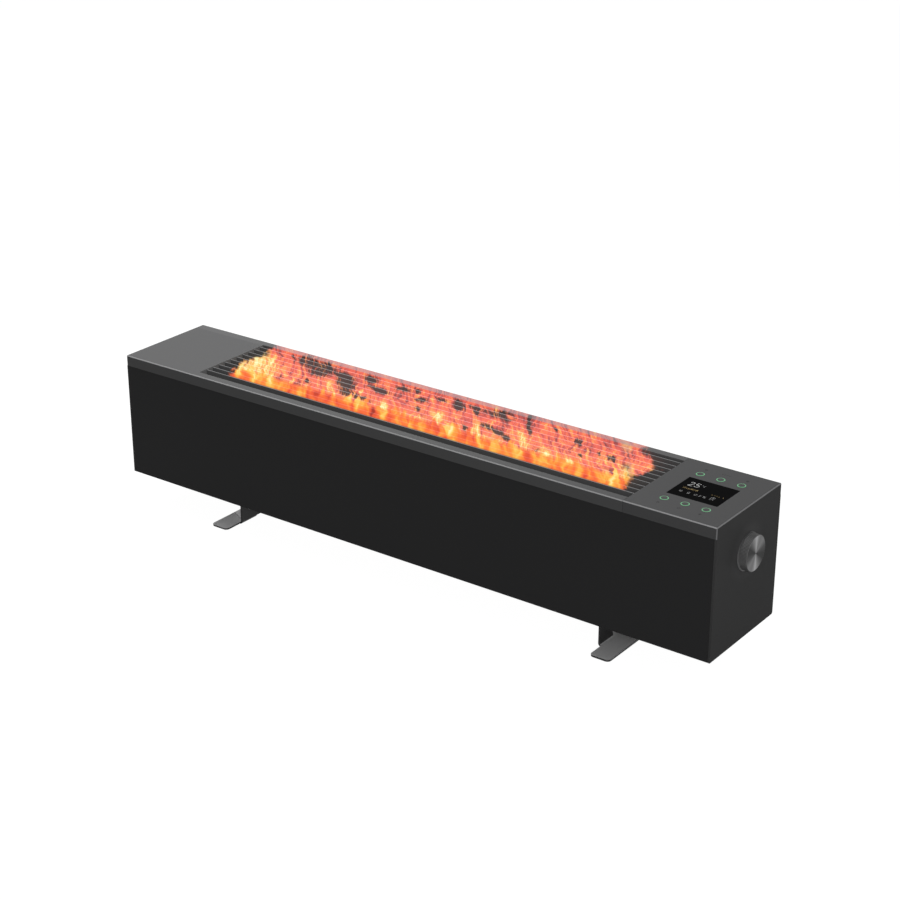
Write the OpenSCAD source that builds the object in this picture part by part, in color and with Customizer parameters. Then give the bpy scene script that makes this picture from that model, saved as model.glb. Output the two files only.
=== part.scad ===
// Skirting heater: a long sheet-metal case on two strip feet. Warm air leaves through a
// bladed outlet in the top, over a lit flame chamber. A key and display field lies at the
// right of the top, and one rotary knob stands on the right end.
// X runs along the case, the front faces -Y, and the floor is at z = 0.

/* [Case] */
// Length of the case over its end caps
case_l = 1000; // [820:1:1200]
// Depth of the case over the rims of its top covers
case_d = 166.4; // [160:0.2:190]
// Height of the case without its feet
case_h = 188; // [180:1:230]
// Thickness of the front, rear and bottom sheets
sheet_t = 1.5; // [1:0.1:2]
// Thickness of the end caps
end_t = 3; // [2:0.1:5]
// Depth to which the rear panel wraps round each end
wrap_d = 4; // [3:0.1:8]
// Width of the folded flanges on the front and rear panels
flange_w = 8; // [5:0.5:9]
// Outer radius of the folds at the rear panel's lower edge
fold_r = 3; // [2:0.1:5]

/* [Top covers] */
// Thickness of the two top covers
cover_t = 1.5; // [1:0.1:2]
// Height of the rims that turn down over the front and rear panels
rim_h = 16; // [10:0.5:22]
// How far the rims stand proud of the panels below them
rim_proud = 0.5; // [0.2:0.1:1]
// Leg of the bright cut along the covers' edges
edge_cut = 1.2; // [0.4:0.1:1.4]
// Gap between the two covers
seam_gap = 0.4; // [0.2:0.1:1]

/* [Outlet grille] */
// Distance from each end of the case to the outlet opening
outlet_in = 135; // [134:0.5:170]
// Distance from the front and rear of the case to the outlet opening
outlet_side = 13; // [11:0.1:16]
// Depth of the walls round the opening, from the top of the covers
wall_drop = 26; // [20:0.5:28]
// Number of blades
blade_count = 10; // [8:2:10]
// Thickness of a blade
blade_t = 1.2; // [0.8:0.1:2]
// Width of the first and last gap between the blades, as a share of their pitch
outer_gap_share = 0.9; // [0.6:0.05:1.2]
// How far the row of blades lies to the rear of the middle
blade_shift = 4.2; // [0:0.1:4.5]
// Depth of a blade
blade_h = 14; // [10:0.5:16]
// How far the blades lie below the top of the covers
blade_sunk = 1; // [0.5:0.1:3]
// Number of cross rods that carry the blades
rod_count = 5; // [3:1:7]
// Diameter of a cross rod
rod_d = 4; // [3:0.1:5]

/* [Flame chamber] */
// Distance of each bulkhead inside the end of the outlet opening
bulk_in = 27; // [24:0.5:40]
// Distance of each heat baffle inside the side of the outlet opening
baffle_in = 8.2; // [6:0.1:14]
// Thickness of the bulkheads and heat baffles
baffle_t = 1; // [0.8:0.1:1.5]
// Height of the baffles' lower edges above the case's underside
baffle_z = 26; // [20:1:40]
// Width of the baffles' inner lips, which carry the flame screen
lip_w = 8; // [5:0.5:10]
// Depth of the flame screen's underside below the top of the covers
screen_drop = 31; // [30:0.5:36]
// Thickness of the flame screen
screen_t = 2; // [1.5:0.1:3]
// Height of the rotor's axis above the case's underside
rotor_z = 118; // [112:1:124]
// Diameter of the rotor's rod
rotor_d = 4; // [3:0.1:6]
// Width of the rotor's reflecting vanes
vane_w = 26; // [20:1:28]
// Distance from one vane to the next
vane_pitch = 20.3; // [16:0.1:30]
// Length of a vane, as a share of that distance
vane_share = 0.74; // [0.5:0.02:0.9]
// Distance from one lamp to the next on a lamp board
lamp_pitch = 33.2; // [20:0.1:50]

/* [Heating element] */
// Height of the element's axis above the case's underside
element_z = 70; // [64:1:74]
// Diameter of the element's tube
tube_d = 10; // [8:0.5:14]
// Width of a fin
fin_w = 90; // [70:1:100]
// Height of a fin
fin_h = 40; // [30:1:50]
// Distance from one fin to the next
fin_pitch = 13; // [11:0.5:20]
// Thickness of a fin
fin_t = 1; // [0.8:0.1:1.5]

/* [Control field] */
// Length of the display window
display_l = 73.3; // [60:0.1:76]
// Width of the display window
display_w = 59.2; // [50:0.1:62]
// Distance from the right end to the middle of the keys and display
field_x = 67.2; // [64:0.1:70]
// Distance from one key to the next in a row
key_pitch = 30.1; // [28:0.1:34]
// Distance of each row of keys from the middle of the case
key_row = 45.2; // [44:0.1:50]
// Outer diameter of the light ring round a key
ring_d = 11.3; // [11:0.1:14]
// Inner diameter of the light ring, in which the key slides
ring_bore = 9.3; // [8:0.1:9.4]
// Running clearance between a key and its ring, on the radius
key_play = 0.08; // [0.04:0.01:0.1]
// How far a key stands out of the cover
key_proud = 0.3; // [0.2:0.1:0.6]
// Travel of a key
key_travel = 0.6; // [0.3:0.1:1]

/* [Knob] */
// Diameter of the knob
knob_d = 49.4; // [40:0.1:56]
// How far the knob's face stands out from the end cap
knob_out = 12; // [11:0.1:20]
// Height of the knob's axis above the case's underside
knob_z = 124.3; // [110:0.1:130]
// Diameter of the fixed bezel behind the knob
bezel_d = 52; // [50:0.1:60]
// Thickness of the bezel
bezel_t = 1.2; // [0.8:0.1:2]
// Depth of the fine grooves round the knob
groove_d = 0.5; // [0.2:0.05:0.8]
// Number of grooves
groove_count = 96; // [60:1:110]
// Leg of the bevel round the knob's front
knob_bevel = 0.4; // [0.2:0.1:1.2]
// Diameter of the encoder's shaft
shaft_d = 6; // [5:0.1:6.4]
// Running clearance of the shaft in its bushing, on the radius
shaft_play = 0.05; // [0.02:0.01:0.1]

/* [Feet] */
// Height of the case's underside above the floor
foot_h = 52.3; // [42:0.1:72]
// Distance of a foot's upright web inside the bulkhead above it
foot_inside = 23.5; // [22:0.5:40]
// Width of a foot's floor plate, with its bend
foot_w = 35.2; // [33:0.1:50]
// Length of a foot's floor plate
foot_l = 154.6; // [146:0.1:160]
// Thickness of a foot's metal
foot_t = 2.5; // [2:0.1:3]
// Outer radius of a foot's bends
foot_bend = 4.8; // [3.1:0.1:6]
// Width of each upright web
web_w = 33; // [20:1:36]
// Distance from the middle of the case to the webs' outer edges
web_y = 48; // [42:1:56]
// Radius of the floor plate's corners
plate_r = 6; // [3:0.5:12]
// Height of the gusset beside one web
gusset_h = 24; // [12:1:30]
// Thickness of the foot pads
pad_t = 0.8; // [0.5:0.1:2]

/* [Electrics] */
// Length of the power board
board_l = 104; // [96:1:106]
// Width of the power board
board_w = 100; // [94:1:104]
// Thickness of the circuit boards
board_t = 1.6; // [1:0.1:2]
// Height of the power board above the bottom plate
board_up = 12; // [9:0.5:16]
// Bore of the cable gland
gland_bore = 8; // [6:0.5:9]
// Diameter of the gland's threaded body
gland_d = 16; // [14:0.5:18]
// Distance from the rear of the case to the middle of the gland
gland_rear = 25.2; // [25:0.1:27]
// Diameter of the inner wires
wire_d = 3; // [2:0.1:3.4]

/* [Hidden] */
$fn = 48;

// Clearance between fixed pieces that are fitted together
fit = 0.2;
// Overrun of every cut
over = 0.5;
half_turn = 180;

// Case
half_l = case_l / 2;
half_d = case_d / 2;
opening_l = case_l - 2 * outlet_in;
opening_w = case_d - 2 * outlet_side;
chamber_l = opening_l - 2 * bulk_in;
baffle_gap = opening_w - 2 * baffle_in;
inner_x = half_l - end_t - fit;
panel_y = half_d - rim_proud;
panel_top = case_h - rim_h - fit;
step_y = half_d - cover_t - fit;
under_cover = case_h - cover_t;
wrap_y = half_d - wrap_d;
cap_tab_w = 56;
plate_z = sheet_t;

// Outlet
seam_x = opening_l / 2;
open_y = opening_w / 2;
blade_pitch = opening_w / (blade_count - 1 + 2 * outer_gap_share);
blade_top = case_h - blade_sunk;
blade_low = blade_top - blade_h;
rod_axis_z = blade_low + rod_d;
rod_span = opening_l / rod_count;
wall_low = case_h - wall_drop;
rod_fit = 0.1;

// Intake slots in the bottom plate and the rear panel
slot_l = 46;
slot_w = 6;
slot_pitch_x = 60;
slot_share = 0.75;
slot_pitch_y = 16;
slot_cols = floor(opening_l * slot_share / slot_pitch_x);
slot_rows = 5;
vent_l = 26;
vent_w = 3.2;
vent_pitch_z = 9;
vent_rows = 6;
vent_pitch_x = 36;
vent_cols = 3;
vent_low = 36;

// Places of the screws that hold the bottom plate to the panels' flanges
screw_count = 6;
screw_step = (case_l - 2 * end_t - 2 * slot_l) / (screw_count - 1);
screw_xs = [for (i = [0:screw_count - 1]) (i - (screw_count - 1) / 2) * screw_step];
flange_screw_y = panel_y - sheet_t - flange_w / 2;

// Chamber
bulk_x = chamber_l / 2;
baffle_y = baffle_gap / 2;
screen_z = case_h - screen_drop;
foot_flange = 12;
bulk_y = step_y - sheet_t - fit;
bulk_foot_y = panel_y - sheet_t - flange_w - fit - fit;
hood_w = 10;
wire_y = (panel_y - sheet_t + baffle_y + baffle_t) / 2;
screen_slot_share = 0.76;
screen_open_share = 0.39;
screen_cols = 6;
screen_rows = 5;
screen_pitch_x = (chamber_l - hood_w) / screen_cols;
screen_pitch_y = (baffle_gap - lip_w) / screen_rows;

// Rotor, bushes and motor
play = 0.06;
bush_d = 10;
bush_flange_d = 15;
bush_flange_t = 2;
vane_l = vane_pitch * vane_share;
vane_count = floor((chamber_l - vane_w) / vane_pitch);
vane_t = 0.6;
vane_turn = 47;
rotor_in = 6;
motor_d = 40;
motor_l = 16;
motor_ear_w = 10;
motor_ear_l = 58;
motor_ear_t = 1.5;
motor_back = bulk_x + baffle_t + motor_l;
rotor_left = -bulk_x - baffle_t;
rotor_right = bulk_x + baffle_t + rotor_in;

// Lamps
lamp_board_h = 12;
lamp_board_t = 1.2;
lamp_drop = 8;
lamp_w = 5;
lamp_t = 1.6;
lamp_board_l = chamber_l - baffle_t - hood_w;
lamp_count = floor(lamp_board_l / lamp_pitch);
lamp_z = screen_z - lamp_drop - lamp_board_h;

// Element
pin_d = 5;
bush_out = 10;
ceramic_d = 18;
ceramic_flange_d = 26;
ceramic_flange_t = 3;
tube_l = chamber_l - ceramic_flange_t - ceramic_flange_t - fit;
fin_count = floor((tube_l - fin_pitch) / fin_pitch);

// Keys and display
field = half_l - field_x;
ring_top = 0.1;
ring_depth = 4.5;
ring_low = under_cover - ring_depth;
ring_collar_w = 1.6;
ring_collar_t = 1.5;
cap_d = ring_bore - key_play - key_play;
cap_flange_t = 1;
cap_flange_w = 1;
stem_d = 4;
stem_l = 1;
stem_low = ring_low - cap_flange_t - stem_l;
press_gap = 0.15;
switch_h = 4;
switch_w = 7;
switch_top = stem_low - key_travel - press_gap;
key_board_top = switch_top - switch_h;
key_board_low = key_board_top - board_t;
key_board_edge = 10.8;
key_board_gap = 5.2;
key_board_l = 2 * (field_x - end_t - key_board_gap);
key_board_w = 2 * (key_row + key_board_edge);
post_d = 6;
post_inset = 5;
post_points = [for (i = [-1, 1], j = [-1, 1])
    [field + i * (key_board_l / 2 - post_inset), j * (key_board_w / 2 - post_inset)]];
module_edge = 2;
lens_fit = 0.15;

// Knob and encoder
knob_gap = 0.4;
knob_wall = 3;
knob_front = 3;
hub_d = 12;
knob_back = half_l + bezel_t + knob_gap;
knob_tip = half_l + knob_out;
face_t = 1;
face_d = knob_d - 2 * knob_bevel - 2 * groove_d;
bushing_d = 9;
bushing_fit = 0.2;
bushing_out = 6;
encoder_w = 15;
encoder_l = 8;
nut_d = 13;
nut_t = 2;
shaft_in = 6;
shaft_end_gap = 1;
shaft_tip = knob_tip - face_t - shaft_end_gap;
bezel_bore = 16;
hub_deep = bushing_out - bezel_t + fit;

// Feet
foot_x = bulk_x - foot_inside;
tab_low = web_y - web_w;
ear_w = 18;
ear_low = 3.9;
tongue = 2.5;
foot_in = 28;
foot_hole_d = 5.4;
foot_hole_x = foot_bend + (foot_in - foot_bend) / 2;
foot_hole_y = (web_y + tab_low) / 2;
collar_d = 10;
collar_h = 4;
screw_d = 5;
screw_head_d = 9;
screw_head_h = 2.6;
gusset_run = 33;
gusset_back = 14.3;
gusset_in = 7.2;
gusset_t = 2;
pad_l = 40;
pad_inset = 3;
pad_y = foot_l / 2 - plate_r - pad_l / 2;
foot_holes_x = [-foot_x - foot_hole_x, foot_x + foot_hole_x];
foot_span = foot_h - pad_t;

// Electrics
board_x = half_l - end_t - fit - board_l - 3 * fit;
board_end = board_x + board_l;
board_front = -board_w / 2 - gland_d / 2;
board_low = plate_z + board_up;
board_top = board_low + board_t;
standoff_d = 7;
standoff_inset = 6;
standoff_points = [for (x = [board_x + standoff_inset, board_end - standoff_inset],
        y = [board_front + standoff_inset, board_front + board_w - standoff_inset]) [x, y]];
small_d = 3;
small_head_d = 5.6;
small_head_h = 1.8;
nut_across = 22;
gland_out = 9;
gland_in = 12;
gland_x = board_x + board_l / 2;
gland_y = half_d - gland_rear;
block_w = 12;
block_h = 13;
block_l = 46;
block_cells = 4;
relay_l = 29;
relay_w = 12.6;
relay_h = 16;
relay_gap = 3;
trafo_l = 34;
trafo_w = 28;
trafo_h = 26;
trafo_core = 9;
can_d = 12;
can_h = 20;
sink_l = 34;
sink_w = 16;
sink_h = 30;
sink_base = 3;
sink_fin_t = 1.2;
sink_fins = 5;
tip_d = 14;
tip_h = 15;
ribbon_w = 15;
ribbon_t = 0.8;
ribbon_inset = 8;
wire_hole_d = 8;
wire_run_z = 14;
sensor_d = 5;
sensor_l = 12;
cutout_d = 16;
cutout_h = 9;
cutout_in = 88;
cutout_x = bulk_x - cutout_in;

// Places of the parts on the power board, counted from its left front corner
row_a = 8;
row_b = 44;
row_c = 74;
trafo_x = board_x + row_c;
trafo_y = board_front + row_b - standoff_inset;
block_x = board_x + row_a / 4;
block_y = board_front + standoff_inset + standoff_d;
sink_x = board_x + 2 * row_a + block_w;
sink_y = board_front + row_b;
ribbon_y = trafo_y + trafo_l + ribbon_inset / 2;

// Wire routes
stud_x = bulk_x + bush_out + fin_pitch / 2;
wire_bend = 8;

// Placing and plain shapes
module at_case() translate([-knob_out / 2, 0, foot_h]) children();

module block(x0, x1, y0, y1, z0, z1)
    translate([x0, y0, z0]) cube([x1 - x0, y1 - y0, z1 - z0]);

module along_x(x0, x1)
    translate([x0, 0, 0]) rotate([90, 0, 90]) linear_extrude(x1 - x0) children();

module rod_x(x0, x1, y, z, d)
    translate([x0, y, z]) rotate([0, 90, 0]) cylinder(h = x1 - x0, d = d);

module rod_y(x, y0, y1, z, d)
    translate([x, y1, z]) rotate([90, 0, 0]) cylinder(h = y1 - y0, d = d);

module post(x, y, z0, z1, d)
    translate([x, y, z0]) cylinder(h = z1 - z0, d = d);

module area(y0, y1, z0, z1) translate([y0, z0]) square([y1 - y0, z1 - z0]);

module both_ends() for (s = [0, 1]) mirror([s, 0, 0]) children();

module both_sides() for (s = [0, 1]) mirror([0, s, 0]) children();

module stadium(l, w) {
    square([l - w, w], center = true);
    for (s = [-1, 1]) translate([s * (l - w) / 2, 0]) circle(d = w);
}

module slot_field(l, w, pitch_x, pitch_y, cols, rows)
    for (i = [0:cols - 1], j = [0:rows - 1])
        translate([(i - (cols - 1) / 2) * pitch_x, (j - (rows - 1) / 2) * pitch_y])
            stadium(l, w);

module bevel(length, leg)
    rotate([45, 0, 0]) translate([0, -leg / sqrt(2), -leg / sqrt(2)])
        cube([length, leg * sqrt(2), leg * sqrt(2)]);

// Wires: a tube swept along softened corners, its rings carried without twist
function unit(v) = v / norm(v);
function soft(path, r) = concat([path[0]],
    [for (i = [1:len(path) - 2])
        let (p = path[i], a = p + r * unit(path[i - 1] - p), b = p + r * unit(path[i + 1] - p))
        each [a, (a + 2 * p + b) / 4, b]],
    [path[len(path) - 1]]);
function courses(path) = [for (i = [0:len(path) - 1])
    unit(path[min(i + 1, len(path) - 1)] - path[max(i - 1, 0)])];
function carried(dirs, sides, i) = i == len(dirs) ? sides :
    carried(dirs, concat(sides,
        [unit(sides[i - 1] - (sides[i - 1] * dirs[i]) * dirs[i])]), i + 1);
function first_side(d) = unit(cross(d, abs(d.z) > 0.7 ? [1, 0, 0] : [0, 0, 1]));

module wire(route, d, sides = 8) {
    path = soft(route, 2 * d);
    dirs = courses(path);
    across = carried(dirs, [first_side(dirs[0])], 1);
    n = len(path);
    rings = [for (i = [0:n - 1], k = [0:sides - 1])
        let (a = 360 * k / sides)
        path[i] + d / 2 * (cos(a) * across[i] + sin(a) * cross(dirs[i], across[i]))];
    walls = [for (i = [0:n - 2], k = [0:sides - 1])
        let (m = (k + 1) % sides)
        each [[i * sides + k, (i + 1) * sides + k, (i + 1) * sides + m],
            [i * sides + k, (i + 1) * sides + m, i * sides + m]]];
    ends = [for (k = [1:sides - 2])
        each [[0, k, k + 1],
            [(n - 1) * sides, (n - 1) * sides + k + 1, (n - 1) * sides + k]]];
    polyhedron(points = rings, faces = concat(walls, ends), convexity = 10);
}

// Case

module panel_profile(foot_flange_at)
{
    area(panel_y - sheet_t, panel_y, 0, panel_top);
    area(step_y - sheet_t, panel_y, panel_top - sheet_t, panel_top);
    area(step_y - sheet_t, step_y, panel_top - sheet_t, under_cover - fit);
    area(step_y - flange_w, step_y, under_cover - fit - sheet_t, under_cover - fit);
    area(panel_y - sheet_t - flange_w, panel_y, foot_flange_at, foot_flange_at + sheet_t);
}

module front_panel()
    color("#232324") at_case() difference() {
        mirror([0, 1, 0]) along_x(-inner_x, inner_x) panel_profile(plate_z);
        for (x = screw_xs) post(x, -flange_screw_y, 0, case_h / 2, small_d);
    }

// What the fold at the rear panel's lower edge leaves off a square corner
module fold_corner() difference() {
    translate([panel_y - fold_r, -over]) square([fold_r + over, fold_r + over]);
    translate([panel_y - fold_r, fold_r]) circle(r = fold_r);
}

module rear_panel()
    color("#1c1c1d") at_case() difference() {
        union() {
            along_x(-half_l, half_l) difference() {
                panel_profile(plate_z);
                fold_corner();
            }
            both_ends() along_x(half_l - sheet_t, half_l) difference() {
                area(wrap_y, panel_y, 0, under_cover - fit);
                area(step_y, panel_y + over, panel_top, case_h);
                fold_corner();
            }
        }
        // The flanges stop short of the end caps
        both_ends() {
            block(inner_x, half_l - sheet_t, 0, panel_y - sheet_t, -over, case_h);
            block(inner_x, half_l + over, 0, wrap_y, -over, case_h);
        }
        for (x = screw_xs) post(x, flange_screw_y, 0, case_h / 2, small_d);
        // Vents for the electrics and their like at the left
        for (s = [-1, 1])
            translate([s * field, half_d + over, vent_low + vent_rows * vent_pitch_z / 2])
                rotate([90, 0, 0]) linear_extrude(case_d / 4)
                    slot_field(vent_l, vent_w, vent_pitch_x, vent_pitch_z, vent_cols, vent_rows);
    }

module bottom_plate()
    color("#242426") at_case() difference() {
        union() {
            block(-inner_x, inner_x, -panel_y + sheet_t + fit, panel_y - fold_r - fit, 0, plate_z);
            for (x = foot_holes_x, y = [-foot_hole_y, foot_hole_y])
                post(x, y, 0, plate_z + collar_h, collar_d);
        }
        for (x = foot_holes_x, y = [-foot_hole_y, foot_hole_y])
            post(x, y, -over, plate_z + collar_h + over, screw_d + fit);
        translate([0, 0, -over]) linear_extrude(plate_z + 2 * over)
            slot_field(slot_l, slot_w, slot_pitch_x, slot_pitch_y, slot_cols, slot_rows);
        post(gland_x, gland_y, -over, plate_z + over, gland_d + fit);
        for (x = screw_xs, y = [-flange_screw_y, flange_screw_y])
            post(x, y, -over, plate_z + over, small_d + fit);
        for (p = standoff_points)
            post(p.x, p.y, -over, plate_z + over, small_d + fit);
    }

// An end cap's outline, narrower behind the front rim
module end_cap_outline() difference() {
    area(-panel_y, wrap_y - fit, 0, under_cover);
    area(-half_d - over, -step_y, panel_top, case_h);
}

module end_cap(bore)
    difference() {
        union() {
            along_x(half_l - end_t, half_l) end_cap_outline();
            // Inner flange that rests on the bottom plate
            block(inner_x - foot_flange, half_l - end_t, -cap_tab_w / 2, cap_tab_w / 2,
                plate_z, plate_z + sheet_t);
        }
        if (bore) rod_x(half_l - end_t - over, half_l + over, 0, knob_z, bushing_d + 2 * bushing_fit);
    }

module left_end_cap()
    color("#353536") at_case() mirror([1, 0, 0]) end_cap(false);

module right_end_cap()
    color("#353536") at_case() end_cap(true);

// Top covers

module cover_shell(x0, x1, end_at)
    difference() {
        block(x0, x1, -half_d, half_d, case_h - rim_h, case_h);
        block(x0 - over, x1 + over, -half_d + cover_t, half_d - cover_t, 0, under_cover);
        for (s = [-1, 1]) {
            translate([x0 - over, s * half_d, case_h]) bevel(x1 - x0 + 2 * over, edge_cut);
            translate([end_at, s * half_d, case_h - rim_h - over]) rotate([0, -90, 0])
                bevel(rim_h + 2 * over, edge_cut);
        }
        translate([end_at, -half_d - over, case_h]) rotate([0, 0, 90])
            bevel(case_d + 2 * over, edge_cut);
    }

module grille_frame()
    color("#5b5b5d") at_case() difference() {
        union() {
            cover_shell(-half_l, seam_x - seam_gap / 2, -half_l);
            block(-seam_x - cover_t, seam_x - seam_gap / 2, -open_y - cover_t, open_y + cover_t,
                wall_low, under_cover + cover_t / 2);
        }
        block(-seam_x, seam_x + over, -open_y, open_y, 0, case_h + over);
        for (i = [0:rod_count - 1])
            rod_y((i - (rod_count - 1) / 2) * rod_span, -half_d + cover_t + fit,
                half_d - cover_t - fit, rod_axis_z, rod_d + 2 * rod_fit);
    }

module control_cover()
    color("#565658") at_case() difference() {
        union() {
            cover_shell(seam_x + seam_gap / 2, half_l, half_l);
            block(seam_x + seam_gap / 2, seam_x + seam_gap / 2 + cover_t, -open_y, open_y,
                wall_low, under_cover + cover_t / 2);
        }
        block(field - display_l / 2 - lens_fit, field + display_l / 2 + lens_fit,
            -display_w / 2 - lens_fit, display_w / 2 + lens_fit, under_cover - over, case_h + over);
        for (i = [-1:1], s = [-1, 1])
            post(field + i * key_pitch, s * key_row, under_cover - over, case_h + over, ring_d + fit);
    }

module outlet_grille()
    color("#3a3a3b") at_case() union() {
        for (i = [0:blade_count - 1]) {
            y = (i - (blade_count - 1) / 2) * blade_pitch + blade_shift;
            block(-seam_x + fit, seam_x - fit, y - blade_t / 2, y + blade_t / 2, blade_low, blade_top);
        }
        for (i = [0:rod_count - 1])
            rod_y((i - (rod_count - 1) / 2) * rod_span, -open_y - cover_t, open_y + cover_t,
                rod_axis_z, rod_d);
    }

// Flame chamber

module bulkhead()
    difference() {
        union() {
            block(bulk_x, bulk_x + baffle_t, -bulk_y, bulk_y, plate_z + sheet_t + fit, screen_z);
            block(bulk_x, bulk_x + baffle_t, -bulk_foot_y, bulk_foot_y, plate_z, case_h / 2);
            block(bulk_x, bulk_x + foot_flange, -bulk_foot_y, -web_y - fit, plate_z, plate_z + baffle_t);
            block(bulk_x, bulk_x + foot_flange, web_y + fit, bulk_foot_y, plate_z, plate_z + baffle_t);
        }
        rod_x(bulk_x - over, bulk_x + baffle_t + over, 0, rotor_z, bush_d + fit);
        rod_x(bulk_x - over, bulk_x + baffle_t + over, 0, element_z, ceramic_d + fit);
        for (s = [-1, 1])
            rod_x(bulk_x - over, bulk_x + baffle_t + over, s * wire_y, wire_run_z, wire_hole_d);
    }

module left_bulkhead()
    color("#8a8c8f") at_case() mirror([1, 0, 0]) bulkhead();

module right_bulkhead()
    color("#8a8c8f") at_case() bulkhead();

module baffle() {
    block(-bulk_x + fit, bulk_x - fit, baffle_y, baffle_y + baffle_t, baffle_z, screen_z);
    block(-bulk_x + fit, bulk_x - fit, baffle_y - lip_w, baffle_y + baffle_t,
        screen_z - baffle_t, screen_z);
    block(-bulk_x + fit, bulk_x - fit, baffle_y, baffle_y + hood_w, baffle_z, baffle_z + baffle_t);
    both_ends()
        block(bulk_x - hood_w, bulk_x, baffle_y, baffle_y + baffle_t,
            baffle_z + hood_w, screen_z - hood_w);
}

module front_baffle()
    color("#a7a9ab") at_case() mirror([0, 1, 0]) baffle();

module rear_baffle()
    color("#a7a9ab") at_case() baffle();

module flame_screen()
    color("#e9b27a") at_case() difference() {
        block(-bulk_x + fit, bulk_x - fit, -baffle_y, baffle_y, screen_z, screen_z + screen_t);
        translate([0, 0, screen_z - over]) linear_extrude(screen_t + 2 * over)
            slot_field(screen_pitch_x * screen_slot_share, screen_pitch_y * screen_open_share,
                screen_pitch_x, screen_pitch_y, screen_cols, screen_rows);
    }

// Heating element

module heating_element()
    color("#c9cbcd") at_case() union() {
        rod_x(-tube_l / 2, tube_l / 2, 0, element_z, tube_d);
        rod_x(-bulk_x - bush_out - fin_pitch / 2, bulk_x + bush_out + fin_pitch / 2, 0, element_z, pin_d);
        for (i = [0:fin_count - 1]) {
            x = (i - (fin_count - 1) / 2) * fin_pitch;
            block(x - fin_t / 2, x + fin_t / 2, -fin_w / 2, fin_w / 2,
                element_z - fin_h / 2, element_z + fin_h / 2);
        }
    }

module element_bushes()
    color("#ece8de") at_case()
        both_ends() difference() {
            union() {
                rod_x(bulk_x - ceramic_flange_t, bulk_x, 0, element_z, ceramic_flange_d);
                rod_x(bulk_x - fit, bulk_x + bush_out, 0, element_z, ceramic_d);
            }
            rod_x(bulk_x - ceramic_flange_t - over, bulk_x + bush_out + over, 0, element_z,
                pin_d + fit / 2);
        }

module thermal_cutout()
    color("#2b2b2b") at_case() union() {
        rod_y(cutout_x, baffle_y + baffle_t, baffle_y + baffle_t + cutout_h, element_z, cutout_d);
        for (s = [-1, 1])
            block(cutout_x + s * cutout_d / 4 - baffle_t, cutout_x + s * cutout_d / 4 + baffle_t,
                baffle_y + baffle_t + cutout_h - fit, baffle_y + baffle_t + cutout_h + lamp_w,
                element_z - fit, element_z + fit);
    }

module temperature_sensor()
    color("#1f3a2a") at_case() union() {
        block(bulk_x + baffle_t, bulk_x + foot_flange, bulk_foot_y - sensor_l, bulk_foot_y - fit,
            plate_z + baffle_t, plate_z + baffle_t + sensor_d / 2);
        rod_y(bulk_x + baffle_t + sensor_d, bulk_foot_y - sensor_l - fit, bulk_foot_y - sensor_d,
            plate_z + baffle_t + sensor_d, sensor_d);
    }

// Lamps and rotor

module lamp_boards()
    color("#1d4a33") at_case()
        both_sides()
            block(-lamp_board_l / 2, lamp_board_l / 2, baffle_y - lamp_board_t, baffle_y,
                lamp_z, lamp_z + lamp_board_h);

module flame_lamps()
    color("#ffb45a") at_case()
        both_sides() for (i = [0:lamp_count - 1]) {
            x = (i - (lamp_count - 1) / 2) * lamp_pitch;
            face_y = baffle_y - lamp_board_t;
            block(x - lamp_w / 2, x + lamp_w / 2, face_y - lamp_t, face_y,
                lamp_z + (lamp_board_h - lamp_w) / 2, lamp_z + (lamp_board_h + lamp_w) / 2);
        }

module flame_rotor()
    color("#c8c4bc") at_case() union() {
        rod_x(rotor_left, rotor_right, 0, rotor_z, rotor_d);
        for (i = [0:vane_count - 1])
            translate([(i - (vane_count - 1) / 2) * vane_pitch, 0, rotor_z]) rotate([i * vane_turn, 0, 0])
                translate([-vane_l / 2, -vane_w / 2, -vane_t / 2]) cube([vane_l, vane_w, vane_t]);
    }

module rotor_bushes()
    color("#d8d5cc") at_case()
        both_ends() difference() {
            union() {
                rod_x(bulk_x - bush_flange_t, bulk_x, 0, rotor_z, bush_flange_d);
                rod_x(bulk_x - fit, bulk_x + baffle_t, 0, rotor_z, bush_d);
            }
            rod_x(bulk_x - bush_flange_t - over, bulk_x + baffle_t + over, 0, rotor_z,
                rotor_d + 2 * play);
        }

module rotor_motor()
    color("#b9bcc0") at_case() difference() {
        union() {
            rod_x(bulk_x + baffle_t, bulk_x + baffle_t + motor_l, 0, rotor_z, motor_d);
            block(bulk_x + baffle_t, bulk_x + baffle_t + motor_ear_t, -motor_ear_l / 2, motor_ear_l / 2,
                rotor_z - motor_ear_w / 2, rotor_z + motor_ear_w / 2);
        }
        rod_x(bulk_x, rotor_right + fit, 0, rotor_z, rotor_d + 2 * play);
    }

// Display and keys

module display_lens()
    color("#0c0c0d") at_case()
        block(field - display_l / 2, field + display_l / 2, -display_w / 2, display_w / 2,
            under_cover, case_h);

module display_module()
    color("#1b2b22") at_case()
        block(field - display_l / 2 - module_edge, field + display_l / 2 + module_edge,
            -display_w / 2 - module_edge, display_w / 2 + module_edge, key_board_top, under_cover);

module key_board()
    color("#17402c") at_case() difference() {
        block(field - key_board_l / 2, field + key_board_l / 2, -key_board_w / 2, key_board_w / 2,
            key_board_low, key_board_top);
        for (p = post_points) post(p.x, p.y, key_board_low - over, key_board_top + over, small_d + fit);
    }

module key_board_posts()
    color("#c2c4c6") at_case()
        for (p = post_points) difference() {
            post(p.x, p.y, key_board_top, under_cover, post_d);
            post(p.x, p.y, key_board_top - over, key_board_top + post_inset, small_d);
        }

module key_switches()
    color("#2a2a2a") at_case()
        for (i = [-1:1], s = [-1, 1])
            block(field + i * key_pitch - switch_w / 2, field + i * key_pitch + switch_w / 2,
                s * key_row - switch_w / 2, s * key_row + switch_w / 2, key_board_top, switch_top);

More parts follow.
